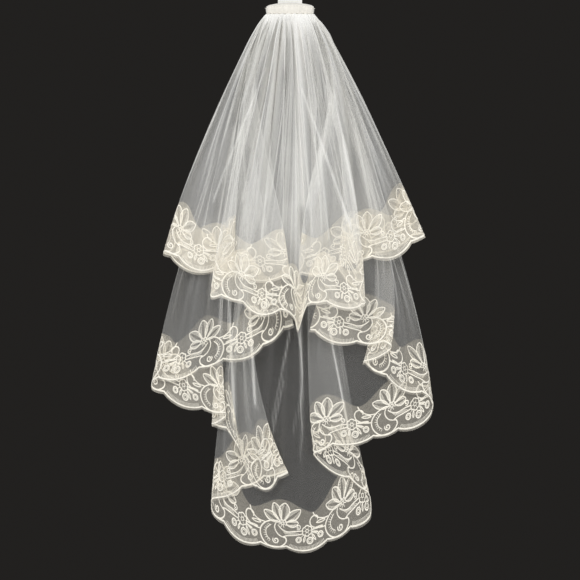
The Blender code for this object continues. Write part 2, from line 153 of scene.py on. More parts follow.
LOWER_TIER = (
    ("left side edge", 0.004, 0.006, 0.528, 0.0530),
    ("left top run", 0.000, -0.046, 0.578, 0.0524),
    ("left top run", -0.004, -0.101, 0.587, 0.0518),
    ("left top run", -0.008, -0.170, 0.616, 0.0512),
    ("left fold", -0.010, -0.227, 0.622, 0.0495),
    ("left fold", -0.010, -0.227, 0.640, 0.0430),
    ("left panel", -0.010, -0.166, 0.666, 0.0410),
    ("narrow fold right", -0.008, -0.103, 0.680, 0.0395),
    ("narrow fold right", -0.008, -0.103, 0.684, 0.0345),
    ("narrow fold left", -0.002, -0.128, 0.690, 0.0328),
    ("narrow fold left", -0.004, -0.128, 0.692, 0.0280),
    ("left flap run", -0.018, -0.084, 0.722, 0.0268),
    ("left flap run", -0.032, -0.066, 0.800, 0.0260),
    ("left flap run", -0.038, -0.034, 0.814, 0.0252),
    ("left flap fold", -0.042, -0.003, 0.776, 0.0240),
    ("left flap fold", -0.042, -0.003, 0.768, 0.0190),
    ("left flap back", -0.036, -0.060, 0.800, 0.0175),
    ("left flap back", -0.028, -0.100, 0.812, 0.0160),
    ("tail left fold", -0.020, -0.132, 0.816, 0.0144),
    ("tail left fold", -0.017, -0.132, 0.850, 0.0096),
    ("tail", -0.010, -0.085, 0.890, 0.0086),
    ("tail", -0.004, -0.030, 0.904, 0.0082),
    ("tail", 0.000, 0.030, 0.908, 0.0082),
    ("tail", -0.002, 0.090, 0.884, 0.0086),
    ("tail right fold", -0.006, 0.135, 0.852, 0.0094),
    ("tail right fold", -0.008, 0.135, 0.812, 0.0152),
    ("right flap", -0.012, 0.092, 0.784, 0.0172),
    ("right flap fold", -0.022, 0.040, 0.756, 0.0190),
    ("right flap fold", -0.022, 0.040, 0.744, 0.0244),
    ("right low run", -0.008, 0.090, 0.724, 0.0256),
    ("right low run", 0.008, 0.150, 0.722, 0.0274),
    ("right fold", 0.020, 0.235, 0.686, 0.0296),
    ("right fold", 0.022, 0.235, 0.650, 0.0368),
    ("right panel", 0.026, 0.180, 0.634, 0.0390),
    ("right inner fold", 0.028, 0.119, 0.600, 0.0410),
    ("right inner fold", 0.028, 0.119, 0.590, 0.0460),
    ("right top fold", 0.026, 0.165, 0.572, 0.0476),
    ("right top fold", 0.024, 0.165, 0.562, 0.0516),
    ("right top run", 0.014, 0.100, 0.566, 0.0530),
    ("right side edge", 0.004, 0.030, 0.542, 0.0536),
)
TIERS = {
    # comb_front: at the side edges and in the middle. lace_shift: how far the lace's repeat
    # is moved along, at evenly spaced places across. steepest: the level share of the hem's slope,
    # below which the edging gets no deeper. Then the grid's columns and rows of net, its rows
    # of edging, its broad and narrow pleats, the sharp creases, how thickly its net lies and
    # the seed that places the rest.
    "upper": {"rows": UPPER_TIER, "comb_front": (0.0310, 0.0385),
              "lace_shift": (0.03, 0.03, 0.02, 0.00, -0.25, -0.60, -0.72, -0.78, -0.73),
              "steepest": 0.95, "columns": 1300, "net_rows": 58, "lace_rows": 22,
              "pleats": (23, 67), "creases": 34, "thickness": 1.1, "seed": 11},
    "lower": {"rows": LOWER_TIER, "comb_front": (0.0285, 0.0196),
              "lace_shift": (0.50, 0.50, 0.40, 0.34, 0.27, 0.32, 0.27, 0.14, 0.24),
              "steepest": 0.80, "columns": 1500, "net_rows": 60, "lace_rows": 22,
              "pleats": (37, 101), "creases": 40, "thickness": 0.64, "seed": 23},
}
PLEAT_SHARES = (0.95, 0.27)        # of the cloth's spare length that broad and narrow pleats take up
CREASE_HEIGHTS = (0.0010, 0.0030)
CREASE_WIDTHS = (0.0014, 0.0030)   # half widths, measured along the hem
CREASE_STARTS = (-0.1, 0.5)        # share of the drop where one starts
CREASE_LENGTHS = (0.35, 1.0)       # and how far down it reaches from there
CREASE_END = 0.82                  # share of the drop below which none reaches
CREASE_FADES = (0.15, 0.25)        # share of the drop over which one grows and dies away
RIPPLE_START = 0.04                # share of the drop over which ripples grow from the seam
COLUMN_WEIGHTS = (0.6, 0.4, 1.6)   # of the hem's length, of even spacing and of creases
NET_ROW_POWER = 1.35               # above 1, rows of the net's grid lie closer near the band
RIPPLES = ((14, 0.0020), (36, 0.0008))  # soft waves across a tier, and their height
PLEAT_WANDER = 1.3                 # how unevenly the pleats are spaced, in pleats
PLEAT_UNEVEN = 0.85                # how unevenly deep they are
WALL_GAP = 0.0035                  # the cloth's folds are pressed flat this near the wall
PLATE_GAP = 0.0075                 # and this near it beside the hook's plate
PLATE_REACH = 0.085                # drop below which the plate has no effect
PLATE_FADE = 0.02                  # drop over which its effect ends
PLEAT_START = 0.10                 # share of the drop over which the pleats open out below the band
PLEAT_LEAST = 0.15                 # share of their depth that they have at the band
SIDE_CALM = (0.9, 0.075, 0.38)     # shallower pleats at the sides: how much, half width, share of the drop
# How thickly the net lies: (streaks across a tier, how much thicker), then the gathers at
# the band, the middle of the veil and the creases
STREAKS = ((9, 0.46), (24, 0.44), (70, 0.18))
CROWDED_TOP = (9.0, 0.028)         # layers added just below the band, and their reach down
CROWDED_MIDDLE = (1.35, 0.060, 0.46)  # layers added, their half width, and how far down they reach
MIDDLE_FADE = 0.10                 # drop over which those end
THINNEST = 0.35                    # the fewest layers anywhere
CREASE_LAYERS = 1.9                # layers added along a crease
FOLD_LINES = {
    # Lines where the net lies folded on itself, or more sparsely: from and to, across and
    # below the veil's top, then half width and layers added
    "upper": (
        ((-0.080, 0.140), (-0.122, 0.340), 0.0240, -0.55),
        ((0.020, 0.150), (0.098, 0.372), 0.0015, 3.2),
        ((0.015, 0.020), (0.020, 0.330), 0.0100, 3.2),
        ((-0.034, 0.090), (-0.062, 0.230), 0.0100, 0.9),
        ((-0.062, 0.110), (-0.085, 0.200), 0.0100, -0.8),
        ((0.020, 0.380), (0.013, 0.530), 0.0060, 1.2),
        ((-0.014, 0.060), (-0.046, 0.390), 0.0014, 2.4),
        ((-0.020, 0.040), (-0.078, 0.330), 0.0012, 2.0),
        ((0.030, 0.060), (0.062, 0.390), 0.0014, 1.8),
        ((-0.038, 0.110), (-0.125, 0.330), 0.0012, 2.2),
        ((0.070, 0.150), (0.108, 0.345), 0.0014, 2.0),
    ),
    "lower": (
        ((0.000, 0.150), (0.004, 0.425), 0.0160, 0.8),
        ((0.000, 0.240), (0.004, 0.425), 0.0150, 1.2),
        ((0.000, 0.340), (0.004, 0.425), 0.0150, 1.8),
        ((0.012, 0.530), (0.018, 0.566), 0.0016, 3.4),
        ((0.018, 0.566), (0.021, 0.618), 0.0012, 2.8),
        ((0.021, 0.618), (0.017, 0.660), 0.0011, 2.0),
        ((0.017, 0.660), (0.021, 0.706), 0.0010, 1.4),
        ((0.021, 0.706), (0.016, 0.752), 0.0010, 0.9),
        ((0.022, 0.640), (0.005, 0.705), 0.0010, 1.1),
        ((0.000, 0.540), (-0.014, 0.610), 0.0015, 1.9),
        ((-0.014, 0.610), (-0.030, 0.690), 0.0011, 1.3),
        ((-0.100, 0.480), (-0.092, 0.690), 0.0020, 2.0),
        ((-0.066, 0.500), (-0.058, 0.660), 0.0016, 2.2),
        ((0.058, 0.500), (0.100, 0.720), 0.0015, 1.8),
        ((-0.010, 0.620), (-0.040, 0.760), 0.0012, 1.6),
    ),
}

CORD_SIDES = 5                     # of a cord's section
BORDER_STEP = 0.002                # between the points of the border cord
LAID_AT_ONCE = 40000               # points of embroidery, which keeps the memory small
GROUND_CELL = 0.7                  # the mesh of the lace's ground as a share of the net's
CUT_MARGIN = 0.6                   # repeats laid past the side edges, where they are cut off

# The band's grid of points, around and up it; how sharply its pleats fade at its sides; the
# most that one stands out. Its stitches: where they lie, in degrees round and as a share of
# its height, how far off it, their length, their thread's radius and their slant in degrees.
BAND_GRID = (420, 26)
BAND_FACING = 1.5
BAND_PLEAT_CAP = 0.0012
BAND_STITCHES = {"arc": (197, 343), "height": 0.60, "lift": 0.0009, "length": 0.0030,
                 "radius": 0.00032, "slant": 24}

# The comb's binding: its gap from the spine, points in a loop, how square it is, its width
BINDING_GAP = 0.0002
BINDING_POINTS = 28
BINDING_SQUARE = 0.3
BINDING_WIDTH = 0.25

VIEW_WIDTH = 0.9454                # of the picture, at the veil
VIEW_CENTRE = (0.0, -0.05, -0.478)
LIGHTS = (
    # name, place, size, share of the main light's power
    ("main", (-1.1, -2.4, 0.9), 1.6, 1.0),
    ("fill", (1.7, -2.0, -0.2), 1.8, 0.45),
    ("back", (0.3, 1.6, 0.8), 1.4, 0.30),
)
FLOOR_COLOUR = (0.74, 0.73, 0.71, 1.0)
BEHIND_COLOUR = (0.016, 0.015, 0.014, 1.0)
AROUND_COLOUR = (0.95, 0.97, 1.0, 1.0)
AROUND_STRENGTH = 0.42


def length_setting(name, description, default, least=0.0):
    return FloatProperty(name=name, description=description, default=default, min=least, unit="LENGTH")


def share_setting(name, description, default, least=0.0):
    return FloatProperty(
        name=name, description=description, default=default, min=least, max=1.0, subtype="FACTOR")


def colour_setting(name, description, default):
    return FloatVectorProperty(
        name=name, description=description, default=default, size=3, subtype="COLOR")


class VeilClothSettings(bpy.types.PropertyGroup):
    """Sizes and colours of the net and of the lace's ground"""

    net_cell: length_setting("Net cell", "Width of one mesh of the net", 0.0013, 0.0005)
    net_cover: share_setting("Net cover", "Share of the light that one layer of net stops", 0.110)
    ground_cover: share_setting(
        "Ground cover", "Share of the light that the lace's ground stops", 0.29)
    net_colour: colour_setting("Net colour", "Colour of the net", (0.89, 0.88, 0.845))
    ground_colour: colour_setting(
        "Ground colour", "Colour of the lace's ground", (0.87, 0.815, 0.70))


class VeilLaceSettings(bpy.types.PropertyGroup):
    """Sizes and colours of the embroidery"""

    cord_width: length_setting("Cord width", "Width of the heavy cords", 0.0025, 0.0005)
    cord_flatness: share_setting(
        "Cord flatness", "A cord's thickness as a share of its width", 0.45, 0.1)
    stitch_pitch: length_setting(
        "Stitch pitch", "Length along a cord of one satin stitch", 0.0006, 0.0002)
    thread_colour: colour_setting(
        "Thread colour", "Colour of the embroidery thread", (0.96, 0.91, 0.795))


class VeilTopSettings(bpy.types.PropertyGroup):
    """Sizes and colours of the gathered band, the comb and the hook"""

    pleats: IntProperty(
        name="Pleats", description="Pleats across the gathered band", default=24, min=6, max=60)
    pleat_depth: length_setting("Pleat depth", "Depth of the band's pleats", 0.0007)
    stitches: IntProperty(
        name="Stitches", description="Stitches across the band's front", default=19, min=5, max=60)
    band_colour: colour_setting("Band colour", "Colour of the gathered band", (0.72, 0.69, 0.625))
    comb_colour: colour_setting("Comb colour", "Colour of the comb's plastic", (0.86, 0.86, 0.84))
    hook_colour: colour_setting("Hook colour", "Colour of the hook's plastic", (0.66, 0.65, 0.62))


class VeilStageSettings(bpy.types.PropertyGroup):
    """The camera's place and the studio"""

    camera_distance: length_setting("Camera distance", "From the camera to the veil", 2.2, 0.5)
    floor_drop: length_setting("Floor drop", "How far the floor lies below the hook", 1.9, 1.0)
    floor_radius: length_setting("Floor radius", "Radius of the pale floor", 1.6, 0.5)
    light_power: FloatProperty(
        name="Light power", description="Power of the main soft light", default=62.0,
        min=0.0, unit="POWER")


def b_spline(values, position):
    """A uniform cubic B-spline through a column of the table, position 0 to 1 along it."""
    values = np.concatenate([[2 * values[0] - values[1]], values, [2 * values[-1] - values[-2]]])
    spans = len(values) - 3
    place = np.clip(np.asarray(position) * spans, 0, spans - 1e-9)
    first = place.astype(int)
    t = place - first
    weights = ((1 - t) ** 3, 3 * t ** 3 - 6 * t ** 2 + 4, -3 * t ** 3 + 3 * t ** 2 + 3 * t + 1, t ** 3)
    return sum(weight * values[first + k] for k, weight in enumerate(weights)) / 6


def rounded_folds(rows):
    """The columns as control points: a fold is two rows at one place across, which become
    four so that the cloth turns there in a round bend."""
    controls = []
    across = COLUMNS.index("hem_x") - 1
    for k, row in enumerate(rows):
        values = np.array(row[1:])
        following = np.array(rows[min(k + 1, len(rows) - 1)][1:])
        before = np.array(rows[max(k - 1, 0)][1:])
        if k + 1 < len(rows) and abs(following[across] - values[across]) < FOLD_INSET:
            inset = values + 0.0
            inset[across] -= math.copysign(FOLD_INSET, values[across] - before[across])
            controls.extend([inset, values * 0.75 + following * 0.25])
        elif k and abs(before[across] - values[across]) < FOLD_INSET:
            inset = values + 0.0
            inset[across] -= math.copysign(FOLD_INSET, values[across] - following[across])
            controls.extend([values * 0.75 + before * 0.25, inset])
        else:
            controls.append(values)
    return np.array(controls)


def columns_at(tier, position):
    """The table's columns read smoothly across the tier, and where it leaves the comb."""
    controls = rounded_folds(tier["rows"])
    at = {name: b_spline(controls[:, k], position) for k, name in enumerate(COLUMNS[1:])}
    turn = math.pi * (position * (1 + 2 * COMB_HOOK) - COMB_HOOK)
    at["comb_x"] = -COMB_REACH * np.cos(turn)
    side, middle = tier["comb_front"]
    outwards = np.abs(2 * position - 1)
    at["comb_front"] = middle + (side - middle) * (0.5 * outwards + 0.5 * outwards ** 5)
    return at


def hem_line(tier):
    """(positions across, place in the lace's pattern, length along the hem in metres, drop) at
    close steps. A place is a whole number at the middle of a flower."""
    fine = np.linspace(0, 1, HEM_STEPS + 1)
    at = columns_at(tier, fine)
    line = np.stack([at["hem_x"], at["hem_front"], at["drop"]], axis=1)
    along = np.concatenate([[0], np.cumsum(np.linalg.norm(np.diff(line, axis=0), axis=1))])
    repeats = round(along[-1] / LACE_REPEAT)
    shift = tier["lace_shift"]
    place = along * repeats / along[-1] - np.interp(fine, np.linspace(0, 1, len(shift)), shift)
    return fine, place, along, at["drop"]


def lace_stretch(tier, position):
    """How much further the edging reaches straight down where the hem is steep, so that it
    keeps its own depth across the hem."""
    fine, _, along, drop = hem_line(tier)
    even = np.linspace(0, along[-1], SLOPE_STEPS + 1)
    slope = np.gradient(np.interp(even, along, drop), even)
    level = np.sqrt(np.clip(1 - slope ** 2, tier["steepest"] ** 2, 1))
    reach = SLOPE_REACH * LACE_REPEAT / even[1]
    beside = math.ceil(2.5 * reach)
    weights = np.exp(-(np.arange(-beside, beside + 1) / reach) ** 2)
    evened = np.convolve(np.pad(1 / level, beside, mode="edge"), weights / weights.sum(), mode="valid")
    return np.interp(np.interp(position, fine, along), even, evened)


def lace_wave(place):
    """1 at the middle of a flower and 0 halfway to the next, with a broad top."""
    return (0.5 + 0.5 * np.cos(2 * math.pi * place)) ** FLOWER_POWER


def hem_wave(place):
    """How far the scalloped edge falls below the hem's line."""
    beyond = (place - LOBE_START) % 1
    broad = beyond < LOBE_SHARE
    across = np.where(broad, beyond / LOBE_SHARE, (beyond - LOBE_SHARE) / (1 - LOBE_SHARE))
    depth = np.where(broad, LOBE_DEPTHS[0], LOBE_DEPTHS[1])
    return depth * np.sin(math.pi * np.clip(across, 0, 1)) ** LOBE_POWER - LOBE_RISE


def gathers(position, share):
    """The sewn pleats' depth, which opens out below the band and is least at the sides."""
    turn = math.pi * (position * (1 + 2 * COMB_HOOK) - COMB_HOOK)
    fade = np.exp(-share / GATHER_REACH) * np.clip(np.sin(turn), 0, 1) ** 2
    return GATHER_DEPTH * fade * np.sin(2 * math.pi * GATHERS * position)


def drop_share(at, drop):
    """How far down from the band to its own hem a point lies, from 0 to 1 and beyond."""
    top = BAND_HEIGHT + SEAM_GAP
    return np.clip((drop - top) / (at["drop"] - top), 0, None)


def cloth_point(tier, position, drop):
    """The middle of the cloth, at a drop below the veil's top, as (x, y, z)."""
    at = columns_at(tier, position)
    share = drop_share(at, drop)
    fan = at["comb_x"] * (1 + FAN * share ** FAN_POWER)
    folded = (at["hem_x"] - at["comb_x"] * (1 + FAN)) * share ** FOLD_POWER
    x = fan + folded + at["bow"] * BOW_SCALE * share ** 2 * (1 - share)
    front = at["comb_front"] + (at["hem_front"] - at["comb_front"]) * share ** DEPTH_POWER
    return np.stack([x, -(front + gathers(position, share)), VEIL_TOP - drop], axis=-1)


def creases(tier):
    """Where each sharp crease lies across the tier, its height, half width and reach down."""
    draw = np.random.default_rng(tier["seed"])
    count = tier["creases"]
    places = (np.arange(count) + draw.uniform(0.1, 0.9, count)) / count
    heights = draw.uniform(*CREASE_HEIGHTS, count) * draw.choice([-1, 1], count)
    widths = draw.uniform(*CREASE_WIDTHS, count)
    starts = draw.uniform(*CREASE_STARTS, count)
    ends = np.minimum(starts + draw.uniform(*CREASE_LENGTHS, count), CREASE_END)
    return places, heights, widths, starts, ends


def way_across(tier, position, drop, near):
    """From a point of the smooth form just before a position to one just past it."""
    ahead = cloth_point(tier, np.clip(position + near, 0, 1), drop)
    return ahead - cloth_point(tier, np.clip(position - near, 0, 1), drop)


def spread(tier, position, drop):
    """Metres of the smooth form for each unit of position, at a drop."""
    near = 1e-4
    return np.linalg.norm(way_across(tier, position, drop, near), axis=-1) / (2 * near)


def drifting(draw, count, position, share):
    """Random waves across a tier that change from one set at its top to another at its hem."""
    upper, lower = draw.uniform(-1, 1, (2, count))
    return b_spline(upper, position) * (1 - share) + b_spline(lower, position) * share


def pleats(tier, position, drop, share):
    """The gathers' pleats, just deep enough that every level has the hem's own length of cloth."""
    draw = np.random.default_rng(tier["seed"] + 3)
    hem_spread = spread(tier, position, columns_at(tier, position)["drop"])
    missing = hem_spread ** 2 - spread(tier, position, drop) ** 2
    spare = math.sqrt(2) * np.sqrt(np.clip(missing, 0, None)) / (2 * math.pi)
    lift = 0.0
    for count, part in zip(tier["pleats"], PLEAT_SHARES):
        wander = b_spline(draw.uniform(-1, 1, count // 3), position)
        drift = b_spline(draw.uniform(-1, 1, count // 4), position) * share
        uneven = 1 + PLEAT_UNEVEN * b_spline(draw.uniform(-1, 1, count), position)
        phase = 2 * math.pi * (count * position + PLEAT_WANDER * (wander + drift))
        lift = lift + spare * part / count * uneven * np.sin(phase)
    calm, half_width, end = SIDE_CALM
    beside = (np.abs(2 * position - 1) - 1 / (1 + 2 * COMB_HOOK)) / (2 * half_width)
    lift = lift * (1 - calm * np.exp(-(beside ** 2)) * np.clip(1 - share / end, 0, 1))
    return lift * np.clip(share / PLEAT_START, PLEAT_LEAST, 1)


def crease_marks(tier, position, share):
    """(height, nearness from 0 to 1) of each sharp crease at each point."""
    _, _, along, _ = hem_line(tier)
    for place, height, width, start, end in zip(*creases(tier)):
        near = np.exp(-(((position - place) * along[-1] / width) ** 2))
        grown = np.clip((share - start) / CREASE_FADES[0], 0, 1)
        reach = grown * np.clip((end - share) / CREASE_FADES[1], 0, 1)
        yield height, near * reach


def ripple(tier, position, drop, share):
    """How far the net's pleats, waves and creases lift it off its smooth form."""
    draw = np.random.default_rng(tier["seed"] + 1)
    lift = pleats(tier, position, drop, share)
    for waves, height in RIPPLES:
        lift += height * drifting(draw, waves, position, share)
    for height, near in crease_marks(tier, position, share):
        lift += height * near
    return lift * np.clip(share / RIPPLE_START, 0, 1)


def on_cloth(tier, position, drop, lift=0.0):
    """A point of the finished cloth, with its ripples, lifted off it along its own normal."""
    share = drop_share(columns_at(tier, position), drop)
    across = way_across(tier, position, drop, 2e-5)[..., :2]
    across = across / np.maximum(np.linalg.norm(across, axis=-1, keepdims=True), 1e-12)
    point = cloth_point(tier, position, drop)
    away = ripple(tier, position, drop, share) + lift
    point[..., 0] += across[..., 1] * away
    point[..., 1] -= across[..., 0] * away
    beside_plate = np.clip((PLATE_REACH - drop) / PLATE_FADE, 0, 1)
    gap = WALL_GAP + (PLATE_GAP - WALL_GAP) * beside_plate
    point[..., 1] = np.minimum(point[..., 1], lift - gap)
    return point


def column_places(tier):
    """Columns lie closer together at creases, and otherwise evenly along the hem."""
    fine, _, along, _ = hem_line(tier)
    by_length, even, by_crease = COLUMN_WEIGHTS
    weight = by_length * np.gradient(along / along[-1], fine) + even
    for place, _, width, _, _ in zip(*creases(tier)):
        weight += by_crease * np.exp(-(((fine - place) * along[-1] / (width * 1.6)) ** 2))
    total = np.concatenate([[0], np.cumsum((weight[1:] + weight[:-1]) / 2)])
    return np.interp(np.linspace(0, total[-1], tier["columns"] + 1), total, fine)


def line_distance(points, start, end):
    """Distance of each (across, drop) point from a straight line between two ends."""
    start, end = np.array(start), np.array(end)
    way = end - start
    share = np.clip((points - start) @ way / (way @ way), 0, 1)
    return np.linalg.norm(points - start - share[..., None] * way, axis=-1)


def net_layers(name, position, drop, points):
    """How thickly the net lies at each point of a tier."""
    tier = TIERS[name]
    draw = np.random.default_rng(tier["seed"] + 2)
    share = drop_share(columns_at(tier, position), drop)
    layers = np.full(drop.shape, tier["thickness"])
    for count, depth in STREAKS:
        layers += depth * drifting(draw, count, position, share)
    extra, reach = CROWDED_TOP
    layers += extra * np.exp(-(drop - BAND_HEIGHT) / reach)
    extra, half_width, end = CROWDED_MIDDLE
    ending = np.clip((end - drop) / MIDDLE_FADE, 0, 1)
    layers += extra * np.exp(-(points[..., 0] / half_width) ** 2) * ending
    for _, near in crease_marks(tier, position, share):
        layers += CREASE_LAYERS * near
    seen = np.stack([points[..., 0], drop], axis=-1)
    for start, end, half_width, extra in FOLD_LINES[name]:
        layers += extra * np.exp(-(line_distance(seen, start, end) / half_width) ** 2)
    return np.clip(layers, THINNEST, None)


def new_object(name, data):
    """An object at the origin, in the scene."""
    made = bpy.data.objects.new(name, data)
    bpy.context.scene.collection.objects.link(made)
    return made


def sheet_object(name, tier_name, rows, material):
    """A grid of the finished cloth as a smooth sheet, with its flat cut as the UV map."""
    tier = TIERS[tier_name]
    position = column_places(tier)
    fine, place, _, _ = hem_line(tier)
    place_at = np.interp(position, fine, place)
    drops = rows(position, place_at)
    points = on_cloth(tier, np.broadcast_to(position, drops.shape), drops)
    down, across = drops.shape
    index = np.arange(down * across).reshape(down, across)
    faces = np.stack([index[:-1, :-1], index[1:, :-1], index[1:, 1:], index[:-1, 1:]], axis=-1)
    faces = faces.reshape(-1, 4)
    mesh = bpy.data.meshes.new(name)
    mesh.vertices.add(down * across)
    mesh.vertices.foreach_set("co", points.astype(np.float32).ravel())
    mesh.loops.add(faces.size)
    mesh.loops.foreach_set("vertex_index", faces.astype(np.int32).ravel())
    mesh.polygons.add(len(faces))
    mesh.polygons.foreach_set("loop_start", np.arange(0, faces.size, 4, dtype=np.int32))
    mesh.update(calc_edges=True)
    cut = np.stack([np.broadcast_to(place_at * LACE_REPEAT, drops.shape), -drops], axis=-1)
    mesh.uv_layers.new(name="UVMap").uv.foreach_set(
        "vector", cut.reshape(-1, 2)[faces.ravel()].astype(np.float32).ravel())
    layers = mesh.attributes.new("net_layers", "FLOAT", "POINT")
    thick = net_layers(tier_name, position, drops, points)
    layers.data.foreach_set("value", thick.astype(np.float32).ravel())
    mesh.shade_smooth()
    mesh.materials.append(material)
    mesh.validate()
    return new_object(name, mesh)


def edge_and_seam(tier, position, place):
    """The drop of the scalloped edge and of the lace's top."""
    line, stretch = columns_at(tier, position)["drop"], lace_stretch(tier, position)
    edge = line + hem_wave(place) * stretch
    seam = line - (LACE_DEPTH - LACE_DIP * (1 - lace_wave(place))) * stretch
    return edge, seam


def socket(tree, name, kind, default=None, output=False):
    """Gives a tree a named input or output and returns its identifier."""
    made = tree.interface.new_socket(
        name=name, in_out="OUTPUT" if output else "INPUT", socket_type=kind)
    if default is not None:
        made.default_value = default
    return made.identifier


def feed(tree, target, value):
    """Feeds an input from another node's output, or gives it a constant."""
    if isinstance(value, bpy.types.NodeSocket):
        tree.links.new(value, target)
    else:
        target.default_value = value


def node(tree, kind, inputs=None, **settings):
    """A node with its settings, then its inputs by name or place."""
    made = tree.nodes.new(kind)
    for name, value in settings.items():
        setattr(made, name, value)
    for name, value in (inputs or {}).items():
        feed(tree, made.inputs[name], value)
    return made


def math_node(tree, operation, *values):
    return node(tree, "ShaderNodeMath", dict(enumerate(values)), operation=operation).outputs[0]


def scaled(tree, colour, share):
    """A colour made lighter or darker by a number that changes over the surface."""
    inputs = {0: colour, "Scale": share}
    return node(tree, "ShaderNodeVectorMath", inputs, operation="SCALE").outputs["Vector"]


def noise(tree, place, scale, detail=2.0):
    inputs = {"Vector": place, "Scale": scale, "Detail": detail}
    return node(tree, "ShaderNodeTexNoise", inputs).outputs["Fac"]


def object_place(tree):
    return node(tree, "ShaderNodeTexCoord").outputs["Object"]


def shader_group(name, inputs, outputs, fill):
    """A shader group with named sockets, built once. fill links its inputs to its outputs."""
    found = bpy.data.node_groups.get(name)
    if found:
        return found
    tree = bpy.data.node_groups.new(name, "ShaderNodeTree")
    for title, kind, default in inputs:
        socket(tree, title, kind, default)
    for title, kind in outputs:
        socket(tree, title, kind, output=True)
    given = node(tree, "NodeGroupInput").outputs
    results = node(tree, "NodeGroupOutput").inputs
    for title, value in fill(tree, given).items():
        tree.links.new(value, results[title])
    return tree


def net_group():
    """A six-sided net: three sets of threads at 60 degrees, as cover and as relief."""

    def fill(tree, given):
        turns = math_node(tree, "DIVIDE", 2 * math.pi, given["Cell"])
        waves = []
        for angle in (0, 60, 120):
            way = (math.cos(math.radians(angle)), math.sin(math.radians(angle)), 0)
            dot = node(tree, "ShaderNodeVectorMath", {0: given["Cut"], 1: way}, operation="DOT_PRODUCT")
            waves.append(math_node(tree, "COSINE", math_node(tree, "MULTIPLY", dot.outputs["Value"], turns)))
        total = math_node(tree, "ADD", math_node(tree, "ADD", waves[0], waves[1]), waves[2])
        # The sum runs from -1.5 on the threads to 3 in the middle of a hole
        relief = math_node(tree, "MULTIPLY", math_node(tree, "SUBTRACT", 0.0, total), 0.667)
        share = math_node(tree, "ADD", 1.0, math_node(tree, "MULTIPLY", relief, given["Contrast"]))
        cover = math_node(tree, "MULTIPLY", given["Cover"], math_node(tree, "MAXIMUM", share, 0.05))
        return {"Cover": cover, "Relief": relief}

    return shader_group(
        "veil net",
        (("Cut", "NodeSocketVector", None), ("Cell", "NodeSocketFloat", 0.0013),
         ("Cover", "NodeSocketFloat", 0.1), ("Contrast", "NodeSocketFloat", 0.5)),
        (("Cover", "NodeSocketFloat"), ("Relief", "NodeSocketFloat")), fill)


def thread_group():
    """Satin stitches across a cord: relief, and a colour mask of random tone with a painted highlight on
    each stitch's crest and painted shade between stitches.
    """

    def fill(tree, given):
        count = math_node(tree, "DIVIDE", given["Run"], given["Pitch"])
        wave = math_node(tree, "SINE", math_node(tree, "MULTIPLY", count, 2 * math.pi))
        uneven = noise(tree, object_place(tree), 140.0)
        relief = math_node(tree, "ADD", math_node(tree, "MULTIPLY", wave, 0.5), uneven)
        base = math_node(tree, "ADD", math_node(tree, "MULTIPLY", uneven, 0.3), 0.78)
        # Painted highlight and shade: the colour is lighter on each stitch's crest and darker between
        # stitches, in step with the relief's wave
        shade = math_node(tree, "ADD", math_node(tree, "MULTIPLY", wave, 0.06), base)
        return {"Relief": relief, "Shade": shade}

    return shader_group(
        "veil satin thread",
        (("Run", "NodeSocketFloat", None), ("Pitch", "NodeSocketFloat", 0.0006)),
        (("Relief", "NodeSocketFloat"), ("Shade", "NodeSocketFloat")), fill)


def plastic_group():
    """Moulded plastic: a faint flow in its gloss, its colour and its surface."""

    def fill(tree, given):
        flow = noise(tree, object_place(tree), given["Scale"], 6.0)
        shade = math_node(tree, "ADD", math_node(tree, "MULTIPLY", flow, 0.16), 0.90)
        change = math_node(tree, "MULTIPLY", math_node(tree, "SUBTRACT", flow, 0.5), 0.25)
        rough = math_node(tree, "ADD", given["Roughness"], change)
        return {"Colour": scaled(tree, given["Colour"], shade), "Roughness": rough, "Relief": flow}

    return shader_group(
        "veil moulded plastic",
        (("Colour", "NodeSocketColor", (0.8, 0.8, 0.8, 1.0)), ("Scale", "NodeSocketFloat", 60.0),
         ("Roughness", "NodeSocketFloat", 0.3)),
        (("Colour", "NodeSocketColor"), ("Roughness", "NodeSocketFloat"),
         ("Relief", "NodeSocketFloat")), fill)


def new_material(name, **inputs):
    """(material, its tree, its Principled shader with the inputs set)"""
    made = bpy.data.materials.new(name)
    made.use_nodes = True
    shader = made.node_tree.nodes["Principled BSDF"]
    for title, value in inputs.items():
        shader.inputs[title.replace("_", " ")].default_value = value
    return made, made.node_tree, shader


def place_group(tree, group, **values):
    return node(tree, "ShaderNodeGroup", values, node_tree=group)


def bump(tree, shader, relief, strength, distance):
    raised = node(tree, "ShaderNodeBump", {"Strength": strength, "Distance": distance, "Height": relief})
    tree.links.new(raised.outputs["Normal"], shader.inputs["Normal"])


def tint(tree, shader, colour, darker, mask):
    """Colours a shader between a colour and a darker share of it, by a mask."""
    made = node(tree, "ShaderNodeMix", {
        "A": (*[c * darker for c in colour], 1.0), "B": (*colour, 1.0), "Factor": mask},
        data_type="RGBA")
    tree.links.new(made.outputs["Result"], shader.inputs["Base Color"])


